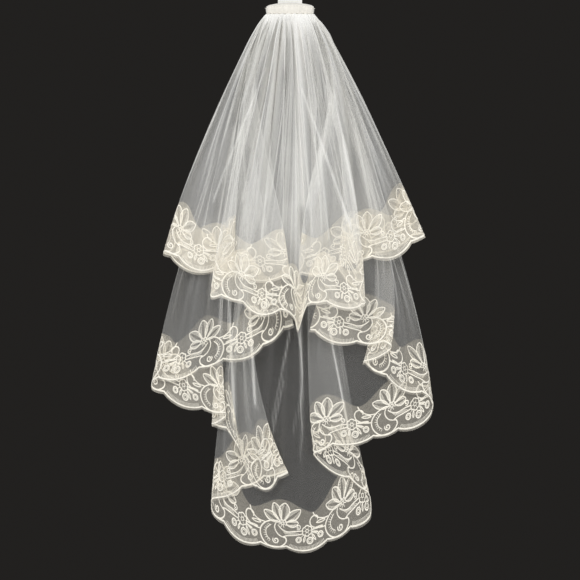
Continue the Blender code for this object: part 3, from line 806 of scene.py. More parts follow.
def net_material(name, colour, cover, contrast, cell, edge_power):
    """See-through net. Its cover grows with the density of the cloth and where it is seen
    along its surface, as more threads then lie behind each other."""
    made, tree, shader = new_material(
        name, Roughness=0.75, Specular_IOR_Level=0.2, Sheen_Weight=0.15, Sheen_Roughness=0.4)
    cut = node(tree, "ShaderNodeUVMap", uv_map="UVMap").outputs["UV"]
    net = place_group(tree, net_group(), Cell=cell, Cover=cover, Contrast=contrast, Cut=cut)
    layers = node(tree, "ShaderNodeAttribute", attribute_name="net_layers")
    slant = node(tree, "ShaderNodeLayerWeight", {"Blend": 0.5})
    facing = math_node(tree, "MAXIMUM", math_node(tree, "SUBTRACT", 1.0, slant.outputs["Facing"]), 0.10)
    slanted = math_node(tree, "POWER", facing, -edge_power)
    depth = math_node(tree, "MULTIPLY", layers.outputs["Fac"], slanted)
    through = math_node(tree, "POWER", math_node(tree, "SUBTRACT", 1.0, net.outputs["Cover"]), depth)
    tree.links.new(math_node(tree, "SUBTRACT", 1.0, through), shader.inputs["Alpha"])
    tint(tree, shader, colour, 0.93, noise(tree, cut, 9.0))
    bump(tree, shader, net.outputs["Relief"], 0.15, 0.0002)
    return made


def embroidery_thread():
    """Satin-stitched thread, soft and slightly glossy, built once from the lace's settings."""
    found = bpy.data.materials.get("embroidery_thread")
    if found:
        return found
    values = bpy.context.scene.veil_lace
    made, tree, shader = new_material("embroidery_thread", Roughness=0.55, Sheen_Weight=0.25)
    run = node(tree, "ShaderNodeAttribute", attribute_name="run")
    stitches = place_group(tree, thread_group(), Pitch=values.stitch_pitch, Run=run.outputs["Fac"])
    # The thread's colour carries the satin stitches' random tone and their painted highlight and shade
    colour = scaled(tree, values.thread_colour, stitches.outputs["Shade"])
    tree.links.new(colour, shader.inputs["Base Color"])
    bump(tree, shader, stitches.outputs["Relief"], 0.5, 0.0003)
    return made


def band_material(colour):
    """Net gathered so tightly that it is opaque, with the crowded pleats as fine raised lines, and painted
    shade that darkens the colour in their hollows.
    """
    made, tree, shader = new_material("gathered_net", Roughness=0.8, Sheen_Weight=0.2)
    place = object_place(tree)
    stretch = node(tree, "ShaderNodeMapping", {"Scale": (420.0, 420.0, 30.0), "Vector": place})
    pleat_relief_and_painted_shade = noise(tree, stretch.outputs["Vector"], 1.0, 5.0)
    net = place_group(tree, net_group(), Cell=0.0011, Cover=0.5, Contrast=0.3, Cut=place)
    # Painted shade: the colour is darker where the pleats' relief is low, in their hollows
    tint(tree, shader, colour, 0.88,
         math_node(tree, "MULTIPLY", math_node(tree, "SUBTRACT", pleat_relief_and_painted_shade, 0.30), 2.6))
    fine = math_node(tree, "MULTIPLY", net.outputs["Relief"], 0.1)
    bump(tree, shader, math_node(tree, "ADD", pleat_relief_and_painted_shade, fine), 0.6, 0.0006)
    return made


def plastic_material(name, colour, roughness, scale, alpha=1.0):
    made, tree, shader = new_material(name, Alpha=alpha, IOR=1.49)
    plastic = place_group(tree, plastic_group(), Colour=(*colour, 1.0), Scale=scale, Roughness=roughness)
    tree.links.new(plastic.outputs["Colour"], shader.inputs["Base Color"])
    tree.links.new(plastic.outputs["Roughness"], shader.inputs["Roughness"])
    bump(tree, shader, plastic.outputs["Relief"], 0.15, 0.0003)
    return made


# The embroidery's chart, in millimetres: across from the flower's middle, and up from the hem's line
FLOWER = (0.0, 45.0)
PETALS = (
    # base, tip, width, in the order they are drawn round the flower
    ((-5.0, 46.5), (-33.0, 59.0), 14.0),
    ((-4.0, 49.0), (-16.5, 75.0), 15.5),
    ((0.5, 49.5), (4.0, 78.5), 19.0),
    ((4.5, 48.5), (31.0, 67.0), 15.5),
    ((6.0, 45.0), (27.0, 45.5), 12.5),
)
PETAL_SWELL = 1.10              # below 1 a petal is widest nearer its base, above 1 nearer its tip
PETAL_FULLNESS = 0.62           # the smaller, the fuller its outline and the rounder its ends
LEAF_LOOP = ((-3, 45.5), (-12, 47), (-22, 45), (-31, 39.5), (-37, 30), (-36, 19), (-29, 9.5), (-19, 4.6),
             (-8, 4.4), (1, 8.5), (6.5, 15), (5.5, 21), (0, 22.5))
LEAF_VEIN = ((-19.5, 39.5), (-24, 35.5), (-27.5, 30.5), (-27.5, 24.5), (-25, 19), (-20, 15))
LEAF_CURL = ((-10.5, 15.5), 5.6, 150, 1.35)     # centre, radius, start in degrees, turns
CRESCENT = ((-11, 44.5), (-13.5, 38), (-11.5, 31), (-6.5, 25.5), (0, 22.5))
TRAIL_TOP = ((-8, 41), (-1, 35), (9, 31.5), (21, 32.5), (34, 32))
TRAIL_FOOT = ((0, 22.5), (8, 25), (20, 26), (34, 27))
TRAIL_CURL = ((27.0, 39.0), 4.6, 235, 1.3)
FLORET = ((42.0, 30.5), 7.4)
FLORET_LOBES = (6, 0.16)        # how many, and how deep as a share of its radius
FLORET_EYE = 0.34               # shares of its radius: its eye, and the ends of its rays
FLORET_RAYS = (0.42, 0.85)
STALK_START = 1.05              # share of the floret's radius where the rings' stalks start
INNER_RING = 0.52               # share of a ring's radius
RINGS = (((27.5, 18.0), 4.3), ((46.5, 14.0), 4.9), ((65.0, 19.5), 4.4))
LEAFLETS = (((38, 22.5), (36, 13), 2.6), ((50, 24.5), (56.5, 13), 2.8), ((50, 31), (70, 31.5), 2.2),
            ((49, 28), (61, 24.5), 2.0))
SPRIG_CURL = ((-51, 43.5), (-50.5, 48.5), (-55, 51.5), (-61, 50.5), (-64.5, 45), (-62.5, 37.5),
              (-55, 32), (-45, 29.5), (-36, 29))
SPRIG_STEM = ((-58.5, 58), (-55, 51), (-48, 45.5), (-39, 42), (-30, 41.5))
SPRIG_LEAF = ((-53, 39.5), (-37, 39), 4.0)
TOOTH_SPACING = 2.3
TOOTH_LENGTH = 5.6
TOOTH_MARGIN = 4.0              # from either end of the broad lobe
TOOTH_GAP = 1.0                 # above the border cord
# Each part's width, as a share of a heavy cord's
STROKE_WIDTHS = {
    "petal": 0.85, "fine": 0.48, "stamen": 0.62, "eye": 0.7, "leaf": 1.0, "vein": 0.6,
    "leaf curl": 0.95, "crescent": 0.85, "trail": 0.85, "trail curl": 0.8, "floret": 0.85,
    "floret eye": 0.6, "ring": 0.95, "stalk": 0.7, "leaflet": 0.7, "sprig curl": 0.9,
    "sprig stem": 0.85, "sprig leaf": 0.8, "tooth": 0.5,
}
BORDER_WIDTH = 1.15             # of the border cord, as a share of a heavy cord's
# Stitches in a petal: shares of its length where they start and end, and how many; shares of
# its half width where one starts and that it runs in; how far back it leans
PETAL_STITCHES = (0.16, 0.92, 13)
STITCH_START, STITCH_REACH, STITCH_LEAN = 0.95, 0.66, 2.8
STAMENS = (1.8, 5.0, 7.5)       # points of one, from the flower's middle
FLOWER_EYE = 2.2
VEIN_LENGTH = 4.2               # of the leaf's side veins
VEIN_STEP = 3.2                 # between the side veins
RUNG_STEP = 3.4                 # between the trail's rungs
RUNG_ENDS = (0.15, 0.8)         # shares of the way from the trail's top to its foot
LINE_STEP, PETAL_STEP, RING_STEP, CURL_STEP = 1.9, 2.2, 2.0, 3.2  # between a line's points


def through(points, step=LINE_STEP):
    """A smooth line through given points, with a point about every step."""
    points = np.array(points, float)
    points = np.concatenate([2 * points[:1] - points[1:2], points, 2 * points[-1:] - points[-2:-1]])
    line = []
    for a, b, c, d in zip(points[:-3], points[1:-2], points[2:-1], points[3:]):
        count = max(2, int(round(np.linalg.norm(c - b) / step)))
        for t in np.arange(count) / count:
            line.append(0.5 * (2 * b + (c - a) * t + (2 * a - 5 * b + 4 * c - d) * t ** 2
                               + (3 * b - a - 3 * c + d) * t ** 3))
    line.append(points[-2])
    return np.array(line)


def petal_half(width, share):
    """Half a petal's width at a share of its length."""
    return width / 2 * np.clip(np.sin(math.pi * share ** PETAL_SWELL), 0, 1) ** PETAL_FULLNESS


def petal_frame(base, tip):
    """(base, way along, unit way beside) of a petal."""
    base, tip = np.array(base, float), np.array(tip, float)
    along = tip - base
    return base, along, np.array([-along[1], along[0]]) / np.linalg.norm(along)


def petal_shape(base, tip, width):
    """One closed outline from its base round its tip."""
    base, along, beside = petal_frame(base, tip)
    share = 0.5 - 0.5 * np.cos(np.linspace(0, math.pi, max(8, int(np.linalg.norm(along) / PETAL_STEP))))
    half = petal_half(width, share)
    left = base + along * share[:, None] + beside * half[:, None]
    right = base + along * share[::-1, None] - beside * half[::-1, None]
    return np.concatenate([left, right[1:-1]])


def petal_stitches(base, tip, width):
    """Short stitches inside a petal, from its outline towards its middle vein."""
    base, along, beside = petal_frame(base, tip)
    lean = along / np.linalg.norm(along)
    found = []
    for share in np.linspace(*PETAL_STITCHES):
        half = petal_half(width, share)
        for side in (1, -1):
            start = base + along * share + beside * half * STITCH_START * side
            end = start - beside * half * STITCH_REACH * side - lean * STITCH_LEAN
            found.append(np.array([start, end]))
    return found


def ring_shape(centre, radius, lobes=0, depth=0.0):
    """A ring of points, or one with round lobes."""
    count = max(10, int(2 * math.pi * radius / RING_STEP), lobes * 5)
    angle = np.linspace(0, 2 * math.pi, count, endpoint=False)
    reach = radius * (1 + depth * np.abs(np.sin(lobes * angle / 2))) if lobes else np.full(count, radius)
    return np.stack([centre[0] + reach * np.cos(angle), centre[1] + reach * np.sin(angle)], axis=1)


def curl_shape(centre, radius, start, turns):
    """A spiral that ends in its middle."""
    share = np.linspace(0, 1, max(8, int(turns * 2 * math.pi * radius / CURL_STEP)))
    angle = math.radians(start) + turns * 2 * math.pi * share
    reach = radius * (1 - 0.80 * share)
    return np.stack([centre[0] + reach * np.cos(angle), centre[1] + reach * np.sin(angle)], axis=1)


def rays(centre, reaches, turns):
    """Straight strokes outwards from a centre, at turns in degrees."""
    found = []
    for turn in turns:
        way = np.array([math.cos(math.radians(turn)), math.sin(math.radians(turn))])
        found.append(np.array(centre) + np.outer(reaches, way))
    return found


def border_height(across):
    """Height above the hem's line of the border cord, at a place in the repeat, in millimetres."""
    return 1000 * (BORDER_MARGIN - hem_wave(across / (1000 * LACE_REPEAT)))


def side_veins():
    """Short stitches from the leaf's vein to one side."""
    vein = through(LEAF_VEIN, step=VEIN_STEP)
    found = []
    for before, here in zip(vein[:-1], vein[1:]):
        way = (here - before) / np.linalg.norm(here - before)
        found.append(np.array([here, here - np.array([-way[1], way[0]]) * VEIN_LENGTH]))
    return found


def trail_rungs():
    """Fine stitches between the trail's two cords."""
    top, foot = through(TRAIL_TOP, step=RUNG_STEP), through(TRAIL_FOOT, step=RUNG_STEP)
    return [np.array([top[k] + (foot[k] - top[k]) * share for share in RUNG_ENDS])
            for k in range(2, min(len(top), len(foot)) - 1)]


def teeth():
    """The short stitches that stand on the broad lobe's border."""
    repeat = 1000 * LACE_REPEAT
    start, end = LOBE_START * repeat + TOOTH_MARGIN, (LOBE_START + LOBE_SHARE) * repeat - TOOTH_MARGIN
    found = []
    for across in np.arange(start, end, TOOTH_SPACING):
        lean = (border_height(across + 1) - border_height(across - 1)) / 2
        way = np.array([-lean, 1.0]) / math.hypot(lean, 1.0)
        root = np.array([across, border_height(across) + TOOTH_GAP])
        found.append(np.array([root, root + way * TOOTH_LENGTH]))
    return found


def charted_repeat():
    """Every stroke of one repeat: (points in millimetres, closed, width as a share of a cord's)."""
    strokes = []

    def add(part, *shapes, closed=False):
        strokes.extend((shape, closed, STROKE_WIDTHS[part]) for shape in shapes)

    for petal in PETALS:
        add("petal", petal_shape(*petal), closed=True)
        add("fine", *petal_stitches(*petal))
    add("stamen", *rays(FLOWER, STAMENS, range(20, 380, 45)))
    add("eye", ring_shape(FLOWER, FLOWER_EYE), closed=True)
    add("leaf", through(LEAF_LOOP))
    add("vein", through(LEAF_VEIN), *side_veins())
    add("leaf curl", curl_shape(*LEAF_CURL))
    add("crescent", through(CRESCENT))
    add("trail", through(TRAIL_TOP), through(TRAIL_FOOT))
    add("fine", *trail_rungs())
    add("trail curl", curl_shape(*TRAIL_CURL))
    centre, radius = FLORET
    add("floret", ring_shape(centre, radius, *FLORET_LOBES), closed=True)
    add("floret eye", ring_shape(centre, radius * FLORET_EYE), closed=True)
    add("fine", *rays(centre, radius * np.array(FLORET_RAYS), range(0, 360, 60)))
    for ring, size in RINGS:
        add("ring", ring_shape(ring, size), closed=True)
        add("fine", ring_shape(ring, size * INNER_RING), closed=True)
        way = np.array(ring) - np.array(centre)
        length = np.linalg.norm(way)
        add("stalk", np.outer([radius * STALK_START, length - size], way / length) + np.array(centre))
    for leaflet in LEAFLETS:
        add("leaflet", petal_shape(*leaflet), closed=True)
    add("sprig curl", through(SPRIG_CURL))
    add("sprig stem", through(SPRIG_STEM))
    add("sprig leaf", petal_shape(*SPRIG_LEAF), closed=True)
    add("tooth", *teeth())
    return strokes


def chart_curves(name, strokes, width):
    """The strokes as one flat curve object in metres, each point's radius half its cord's width."""
    curves = bpy.data.curves.new(name, "CURVE")
    curves.dimensions = "3D"
    for points, closed, share in strokes:
        line = curves.splines.new("POLY")
        line.points.add(len(points) - 1)
        taper = np.full(len(points), share * width / 2)
        if not closed:
            taper[[0, -1]] *= 0.6
        for spot, (across, up), radius in zip(line.points, points / 1000, taper):
            spot.co = (across, up, 0.0, 1.0)
            spot.radius = radius
        line.use_cyclic_u = closed
    return new_object(name, curves)


def node_tree(name):
    """(a geometry tree, its input node, its output node)"""
    tree = bpy.data.node_groups.new(name, "GeometryNodeTree")
    socket(tree, "Geometry", "NodeSocketGeometry")
    socket(tree, "Geometry", "NodeSocketGeometry", output=True)
    return tree, node(tree, "NodeGroupInput"), node(tree, "NodeGroupOutput")


def cord_nodes(tree, curve, radius, flatness, sides):
    """Sweeps flattened round cords along a curve and keeps the length along each as "run"."""
    along = node(tree, "GeometryNodeSplineParameter").outputs["Length"]
    keep = node(tree, "GeometryNodeStoreNamedAttribute", {"Name": "run", "Geometry": curve, "Value": along})
    profile = node(tree, "GeometryNodeCurvePrimitiveCircle", {"Resolution": sides, "Radius": 1.0})
    scale = node(tree, "ShaderNodeCombineXYZ", {"X": 1.0, "Y": flatness, "Z": 1.0})
    flat = node(tree, "GeometryNodeTransform", {
        "Geometry": profile.outputs["Curve"], "Scale": scale.outputs["Vector"]})
    return node(tree, "GeometryNodeCurveToMesh", {
        "Curve": keep.outputs["Geometry"], "Profile Curve": flat.outputs["Geometry"], "Scale": radius,
        "Fill Caps": True}).outputs["Mesh"]


def finish_nodes(tree, instances, material, outside):
    """Realizes the instances, shades them smooth and gives them their material."""
    real = node(tree, "GeometryNodeRealizeInstances", {"Geometry": instances})
    smooth = node(tree, "GeometryNodeSetShadeSmooth", {"Geometry": real.outputs["Geometry"]})
    paint = node(tree, "GeometryNodeSetMaterial", {
        "Geometry": smooth.outputs["Geometry"], "Material": material})
    tree.links.new(paint.outputs["Geometry"], outside.inputs["Geometry"])


def repeat_tree():
    """Strokes swept into cords and repeated in a row along X."""
    tree, inside, outside = node_tree("repeated cords")
    names = {
        "repeats": socket(tree, "Repeats", "NodeSocketInt", 1),
        "repeat": socket(tree, "Repeat length", "NodeSocketFloat", LACE_REPEAT),
        "flatness": socket(tree, "Cord flatness", "NodeSocketFloat", 0.45),
        "material": socket(tree, "Material", "NodeSocketMaterial"),
    }
    given = inside.outputs
    radius = node(tree, "GeometryNodeInputRadius").outputs["Radius"]
    cords = cord_nodes(tree, given["Geometry"], radius, given["Cord flatness"], CORD_SIDES)
    step = node(tree, "ShaderNodeCombineXYZ", {"X": given["Repeat length"]})
    row = node(tree, "GeometryNodeMeshLine", {"Count": given["Repeats"], "Offset": step.outputs["Vector"]})
    copies = node(tree, "GeometryNodeInstanceOnPoints", {"Points": row.outputs["Mesh"], "Instance": cords})
    finish_nodes(tree, copies.outputs["Instances"], given["Material"], outside)
    return tree, names


def swept(name, strokes, repeats, repeat, flatness):
    """Strokes swept into cords of embroidery thread, repeated in a row along X."""
    tree, names = repeat_tree()
    guide = chart_curves(f"{name}_chart", strokes, bpy.context.scene.veil_lace.cord_width)
    return from_nodes(name, guide, tree, {
        names["repeats"]: repeats, names["repeat"]: repeat, names["flatness"]: flatness,
        names["material"]: embroidery_thread()})


def from_nodes(name, guide, tree, values):
    """Evaluates the tree on the guide and keeps its result as a plain mesh object."""
    modifier = guide.modifiers.new("nodes", "NODES")
    modifier.node_group = tree
    for identifier, value in values.items():
        modifier[identifier] = value
    graph = bpy.context.evaluated_depsgraph_get()
    graph.update()
    mesh = bpy.data.meshes.new_from_object(guide.evaluated_get(graph), depsgraph=graph)
    mesh.name = name
    guide.modifiers.remove(modifier)
    bpy.data.objects.remove(guide, do_unlink=True)
    return new_object(name, mesh)


def vertex_points(mesh):
    points = np.empty(len(mesh.vertices) * 3, np.float32)
    mesh.vertices.foreach_get("co", points)
    return points.reshape(-1, 3).astype(float)


def laid_on(tier, mesh, first):
    """Moves a flat mesh (along the hem from a whole place, up from it, off it) on to the tier's
    cloth, cut off at its side edges."""
    fine, place, _, _ = hem_line(tier)
    cut_between(mesh, (place[0] - first) * LACE_REPEAT, (place[-1] - first) * LACE_REPEAT)
    flat = vertex_points(mesh)
    position = np.interp(flat[:, 0] / LACE_REPEAT + first, place, fine)
    drop = columns_at(tier, position)["drop"] - flat[:, 1] * lace_stretch(tier, position)
    points = np.empty((len(flat), 3))
    for start in range(0, len(flat), LAID_AT_ONCE):
        part = slice(start, start + LAID_AT_ONCE)
        points[part] = on_cloth(tier, position[part], drop[part], flat[part, 2])
    mesh.vertices.foreach_set("co", points.astype(np.float32).ravel())
    mesh.update()


def cut_between(mesh, start, end):
    """Deletes what lies past the cloth's side edges."""
    across = vertex_points(mesh)[:, 0]
    work = bmesh.new()
    work.from_mesh(mesh)
    work.verts.ensure_lookup_table()
    outside = np.flatnonzero((across < start) | (across > end))
    bmesh.ops.delete(work, geom=[work.verts[k] for k in outside], context="VERTS")
    work.to_mesh(mesh)
    work.free()


def declare(piece):
    """Puts a piece on the root body."""
    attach(piece, "root")
    return piece


def flat_cut(tier, part):
    """(width, length, area) of the flat cut of a tier's net or edging."""
    fine, place, along, _ = hem_line(tier)
    if part == "net":
        _, seam = edge_and_seam(tier, fine, place)
        tall = seam - BAND_HEIGHT
    else:
        tall = hem_wave(place) + LACE_DEPTH - LACE_DIP * (1 - lace_wave(place))
    return along[-1], float(tall.max()), float(np.trapz(tall, along))


class VEIL_OT_net(bpy.types.Operator):
    """Make the two tiers of gathered net"""

    bl_idname = "veil.net"
    bl_label = "Net tiers"

    def execute(self, context):
        values = context.scene.veil_cloth
        material = net_material(
            "tulle", values.net_colour, values.net_cover, contrast=0.28, cell=values.net_cell,
            edge_power=0.85)
        for name, tier in TIERS.items():

            def rows(position, place, tier=tier):
                _, seam = edge_and_seam(tier, position, place)
                shares = np.linspace(0, 1, tier["net_rows"] + 1)[:, None] ** NET_ROW_POWER
                return BAND_HEIGHT + (seam - BAND_HEIGHT)[None, :] * shares

            piece = declare(sheet_object(f"{name}_net", name, rows, material))
            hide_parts(f"{name}_tier")
            width, length, area = flat_cut(tier, "net")
        return {"FINISHED"}


class VEIL_OT_lace_ground(bpy.types.Operator):
    """Make the denser net that the lace edgings are worked on"""

    bl_idname = "veil.lace_ground"
    bl_label = "Lace grounds"

    def execute(self, context):
        values = context.scene.veil_cloth
        material = net_material(
            "lace_ground", values.ground_colour, values.ground_cover, contrast=0.35,
            cell=values.net_cell * GROUND_CELL, edge_power=0.6)
        for name, tier in TIERS.items():

            def rows(position, place, tier=tier):
                edge, seam = edge_and_seam(tier, position, place)
                shares = np.linspace(0, 1, tier["lace_rows"] + 1)[:, None]
                return seam + (edge - seam)[None, :] * shares

            piece = declare(sheet_object(f"{name}_lace_ground", name, rows, material))
            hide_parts(f"{name}_lace")
            width, length, area = flat_cut(tier, "lace")
        return {"FINISHED"}


class VEIL_OT_embroidery(bpy.types.Operator):
    """Make the corded flowers, leaf loops, rings and border of both edgings"""

    bl_idname = "veil.embroidery"
    bl_label = "Embroidery"

    def execute(self, context):
        flatness = context.scene.veil_lace.cord_flatness
        for name, tier in TIERS.items():
            _, place, _, _ = hem_line(tier)
            first, last = math.floor(place[0] - CUT_MARGIN), math.ceil(place[-1] + CUT_MARGIN)
            motif = swept(
                f"{name}_embroidery", charted_repeat(), last - first + 1, LACE_REPEAT, flatness)
            laid_on(tier, motif.data, first)
            declare(motif)
            start, end = (place[[0, -1]] - first) * LACE_REPEAT
            across = np.arange(start, end, BORDER_STEP) * 1000
            line = np.stack([across, border_height(across)], axis=1)
            border = swept(f"{name}_border", [(line, False, BORDER_WIDTH)], 1, LACE_REPEAT, flatness)
            laid_on(tier, border.data, first)
            declare(border)
        return {"FINISHED"}


def squared(wave, power):
    """A sine or cosine that makes a rounded box of a circle."""
    return np.copysign(np.abs(wave) ** power, wave)


def band_point(angle, height, relief=0.0):
    """A point of the band's outer face, moved off it by a relief. Height is 0 at its foot."""
    levels, insets = zip(*BAND_SECTION)
    inset = np.interp(height, levels, insets)
    back, front = BAND_FRONT
    half_wide = COMB_WIDTH / 2 + BAND_OVERHANG - inset * BAND_SIDE_DRAW + relief
    half_deep = (front - back) / 2 - inset + relief
    x = half_wide * squared(np.cos(angle), BAND_SQUARE[0])
    y = -(back + front) / 2 + half_deep * squared(np.sin(angle), BAND_SQUARE[1])
    arch = BAND_ARCH * (x / half_wide) ** 2 * height
    return np.stack([x, y, VEIL_TOP - BAND_HEIGHT * (1 - height) - arch], axis=-1)


class VEIL_OT_gathered_band(bpy.types.Operator):
    """Make the pleated band at the top and its row of stitches"""

    bl_idname = "veil.gathered_band"
    bl_label = "Gathered band"

    def execute(self, context):
        values = context.scene.veil_top
        piece = declare(self.band(values))
        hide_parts("gathered_band")
        self.stitches(values)
        return {"FINISHED"}

    def band(self, values):
        around, levels = BAND_GRID
        draw = np.random.default_rng(5)
        angle = np.linspace(0, 2 * math.pi, around, endpoint=False)
        heights = np.sin(np.linspace(0, math.pi / 2, levels))
        place = np.clip(band_point(angle, 0.3)[:, 0] / COMB_WIDTH + 0.5, 0, 1)
        coarse, fine, lower = (
            b_spline(draw.uniform(-1, 1, values.pleats * times), place) for times in (1, 3, 2))
        faced = np.clip(-np.sin(angle) * BAND_FACING, 0, 1)
        points = []
        for height in heights:
            ripple_here = values.pleat_depth * (coarse + 0.5 * fine * height + 0.7 * lower * (1 - height))
            fade = faced * (1.15 - height)
            points.append(band_point(angle, height, np.minimum(ripple_here * fade, BAND_PLEAT_CAP)))
        vertices = np.concatenate(points)
        index = np.arange(levels * around).reshape(levels, around)
        following = np.roll(index, -1, axis=1)
        faces = np.stack([index[:-1], following[:-1], following[1:], index[1:]], axis=-1).reshape(-1, 4)
        mesh = bpy.data.meshes.new("gathered_cap")
        caps = [tuple(int(k) for k in index[0][::-1]), tuple(int(k) for k in index[-1])]
        mesh.from_pydata(vertices.tolist(), [], [tuple(int(k) for k in face) for face in faces] + caps)
        mesh.shade_smooth()
        mesh.set_sharp_from_angle(angle=math.radians(60))
        mesh.materials.append(band_material(values.band_colour))
        return new_object("gathered_cap", mesh)

    def stitches(self, values):
        """A row of slanted stitches along the band's front, each a short cord."""
        tree, inside, outside = node_tree("row of stitches")
        count = socket(tree, "Stitches", "NodeSocketInt", 19)
        length = socket(tree, "Stitch length", "NodeSocketFloat", 0.0028)
        radius = socket(tree, "Thread radius", "NodeSocketFloat", 0.0003)
        material = socket(tree, "Material", "NodeSocketMaterial")
        given = inside.outputs
        spots = node(tree, "GeometryNodeCurveToPoints", {
            "Curve": given["Geometry"], "Count": given["Stitches"]})
        stitch = node(tree, "GeometryNodeMeshUVSphere", {"Segments": 8, "Rings": 6, "Radius": 1.0})
        shape = node(tree, "ShaderNodeCombineXYZ", {
            "X": math_node(tree, "MULTIPLY", given["Stitch length"], 0.5),
            "Y": given["Thread radius"], "Z": given["Thread radius"]})
        copies = node(tree, "GeometryNodeInstanceOnPoints", {
            "Points": spots.outputs["Points"], "Instance": stitch.outputs["Mesh"],
            "Scale": shape.outputs["Vector"],
            "Rotation": (0.0, math.radians(BAND_STITCHES["slant"]), 0.0)})
        finish_nodes(tree, copies.outputs["Instances"], given["Material"], outside)
        line = bpy.data.curves.new("stitch_line", "CURVE")
        line.dimensions = "3D"
        spline = line.splines.new("POLY")
        angles = np.linspace(*np.radians(BAND_STITCHES["arc"]), 60)
        route = band_point(angles, BAND_STITCHES["height"], BAND_STITCHES["lift"])
        spline.points.add(len(route) - 1)
        for spot, point in zip(spline.points, route):
            spot.co = (*point, 1.0)
        made = from_nodes("band_stitches", new_object("stitch_line", line), tree, {
            count: values.stitches, length: BAND_STITCHES["length"],
            radius: BAND_STITCHES["radius"], material: embroidery_thread()})
        declare(made)


class VEIL_OT_comb(bpy.types.Operator):
    """Give the comb its plastic and bind it with thread"""

    bl_idname = "veil.comb"
    bl_label = "Comb"

    def execute(self, context):
        values = context.scene.veil_top
        comb = frame["nodes"]["comb"]
        comb.data.materials.clear()
        comb.data.materials.append(
            plastic_material("comb_plastic", values.comb_colour, roughness=0.22, scale=90.0, alpha=0.78))
        spine = COMB_SPINE
        middle_y = -(spine["back"] + spine["front"]) / 2
        middle_z = (spine["top"] + spine["foot"]) / 2
        deep = (spine["front"] - spine["back"]) / 2 + BINDING_GAP
        tall = (spine["top"] - spine["foot"]) / 2 + BINDING_GAP
        turn = np.linspace(0, 2 * math.pi, BINDING_POINTS, endpoint=False)
        loop = np.stack([
            1000 * deep * squared(np.cos(turn), BINDING_SQUARE),
            1000 * tall * squared(np.sin(turn), BINDING_SQUARE)], axis=1)
        pitch = COMB_WIDTH / COMB_TEETH
        # The loops are made 1 m apart, so that rounding tells which one a point is on
        binding = swept("comb_binding", [(loop, True, BINDING_WIDTH)], COMB_TEETH - 1, 1.0, 1.0)
        points = vertex_points(binding.data)
        loop_number = np.round(points[:, 0])
        x = (loop_number + 1) * pitch - COMB_WIDTH / 2 + points[:, 2]
        y = middle_y + (points[:, 0] - loop_number)
        placed = np.stack([x, y, middle_z + points[:, 1]], axis=1)
        binding.data.vertices.foreach_set("co", placed.astype(np.float32).ravel())
        binding.data.update()
        declare(binding)
        return {"FINISHED"}


class VEIL_OT_wall_hook(bpy.types.Operator):
    """Give the wall hook its plastic"""

    bl_idname = "veil.wall_hook"
    bl_label = "Wall hook"

    def execute(self, context):
        hook = frame["nodes"]["wall_hook"]
        hook.data.materials.clear()
        hook.data.materials.append(
            plastic_material("hook_plastic", context.scene.veil_top.hook_colour, roughness=0.38, scale=45.0))
        return {"FINISHED"}


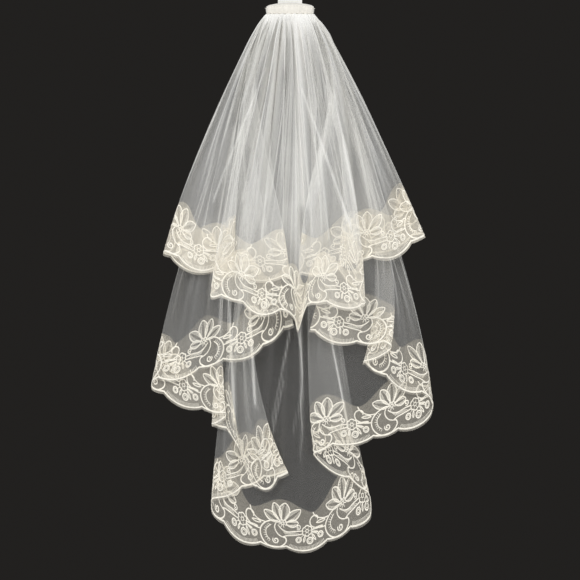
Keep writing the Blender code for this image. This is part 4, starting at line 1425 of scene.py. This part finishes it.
class VEIL_OT_stage(bpy.types.Operator):
    """Make the pale floor, the soft lights and the camera"""

    bl_idname = "veil.stage"
    bl_label = "Stage"

    def execute(self, context):
        values = context.scene.veil_stage
        self.floor(values)
        self.world(context.scene)
        for name, place, size, share in LIGHTS:
            self.light(name, place, size, values.light_power * share)
        self.camera(context.scene, values)
        context.scene.cycles.transparent_max_bounces = 64
        context.scene.view_settings.view_transform = "Standard"
        return {"FINISHED"}

    def floor(self, values):
        mesh = bpy.data.meshes.new("floor")
        work = bmesh.new()
        bmesh.ops.create_circle(work, cap_ends=True, segments=96, radius=values.floor_radius)
        bmesh.ops.translate(work, verts=work.verts, vec=(0.0, -0.3, -values.floor_drop))
        work.to_mesh(mesh)
        work.free()
        made, tree, shader = new_material("pale_floor", Base_Color=FLOOR_COLOUR)
        grain = noise(tree, object_place(tree), 30.0)
        rough = math_node(tree, "ADD", math_node(tree, "MULTIPLY", grain, 0.2), 0.6)
        tree.links.new(rough, shader.inputs["Roughness"])
        mesh.materials.append(made)
        new_object("floor", mesh)

    def world(self, scene):
        """Pale for the light that falls on the veil, and dark grey behind it."""
        world = bpy.data.worlds.new("studio")
        world.use_nodes = True
        tree = world.node_tree
        behind = tree.nodes["Background"]
        behind.inputs["Color"].default_value = BEHIND_COLOUR
        around = node(tree, "ShaderNodeBackground", {"Color": AROUND_COLOUR, "Strength": AROUND_STRENGTH})
        seen = node(tree, "ShaderNodeLightPath").outputs["Is Camera Ray"]
        mix = node(tree, "ShaderNodeMixShader", {
            "Fac": seen, 1: around.outputs["Background"], 2: behind.outputs["Background"]})
        tree.links.new(mix.outputs["Shader"], tree.nodes["World Output"].inputs["Surface"])
        scene.world = world

    def light(self, name, place, size, power):
        lamp = bpy.data.lights.new(name, "AREA")
        lamp.shape = "DISK"
        lamp.size = size
        lamp.energy = power
        made = new_object(name, lamp)
        made.location = place
        way = made.location.copy()
        for axis in range(3):
            way[axis] = VIEW_CENTRE[axis] - place[axis]
        made.rotation_mode = "QUATERNION"
        made.rotation_quaternion = way.to_track_quat("-Z", "Y")

    def camera(self, scene, values):
        lens = bpy.data.cameras.new("camera")
        lens.sensor_width = 36.0
        lens.lens = lens.sensor_width * values.camera_distance / VIEW_WIDTH
        made = new_object("camera", lens)
        across, deep, high = VIEW_CENTRE
        made.location = (across, deep - values.camera_distance, high)
        made.rotation_euler = (math.radians(90), 0.0, 0.0)
        scene.camera = made


class VEIL_PT_panel(bpy.types.Panel):
    """Lists the veil's pieces in the sidebar"""

    bl_idname = "VEIL_PT_panel"
    bl_label = "Bridal veil"
    bl_space_type = "VIEW_3D"
    bl_region_type = "UI"
    bl_category = "Veil"

    def draw(self, context):
        layout = self.layout
        scene = context.scene
        for group in (scene.veil_cloth, scene.veil_lace, scene.veil_top, scene.veil_stage):
            box = layout.box()
            for name in group.__annotations__:
                box.prop(group, name)
        for operator in OPERATORS:
            layout.operator(operator.bl_idname)


OPERATORS = (VEIL_OT_stage, VEIL_OT_net, VEIL_OT_lace_ground, VEIL_OT_embroidery, VEIL_OT_gathered_band,
             VEIL_OT_comb, VEIL_OT_wall_hook)
SETTINGS = {
    "veil_cloth": VeilClothSettings,
    "veil_lace": VeilLaceSettings,
    "veil_top": VeilTopSettings,
    "veil_stage": VeilStageSettings,
}


def register():
    for made in (*SETTINGS.values(), *OPERATORS, VEIL_PT_panel):
        bpy.utils.register_class(made)
    for name, settings in SETTINGS.items():
        setattr(bpy.types.Scene, name, PointerProperty(type=settings))


def unregister():
    for name in SETTINGS:
        delattr(bpy.types.Scene, name)
    for made in reversed((*SETTINGS.values(), *OPERATORS, VEIL_PT_panel)):
        bpy.utils.unregister_class(made)


def main():
    register()
    bpy.ops.veil.stage()
    bpy.ops.veil.net()
    bpy.ops.veil.lace_ground()
    bpy.ops.veil.embroidery()
    bpy.ops.veil.gathered_band()
    bpy.ops.veil.comb()
    bpy.ops.veil.wall_hook()


if __name__ == "__main__":
    main()
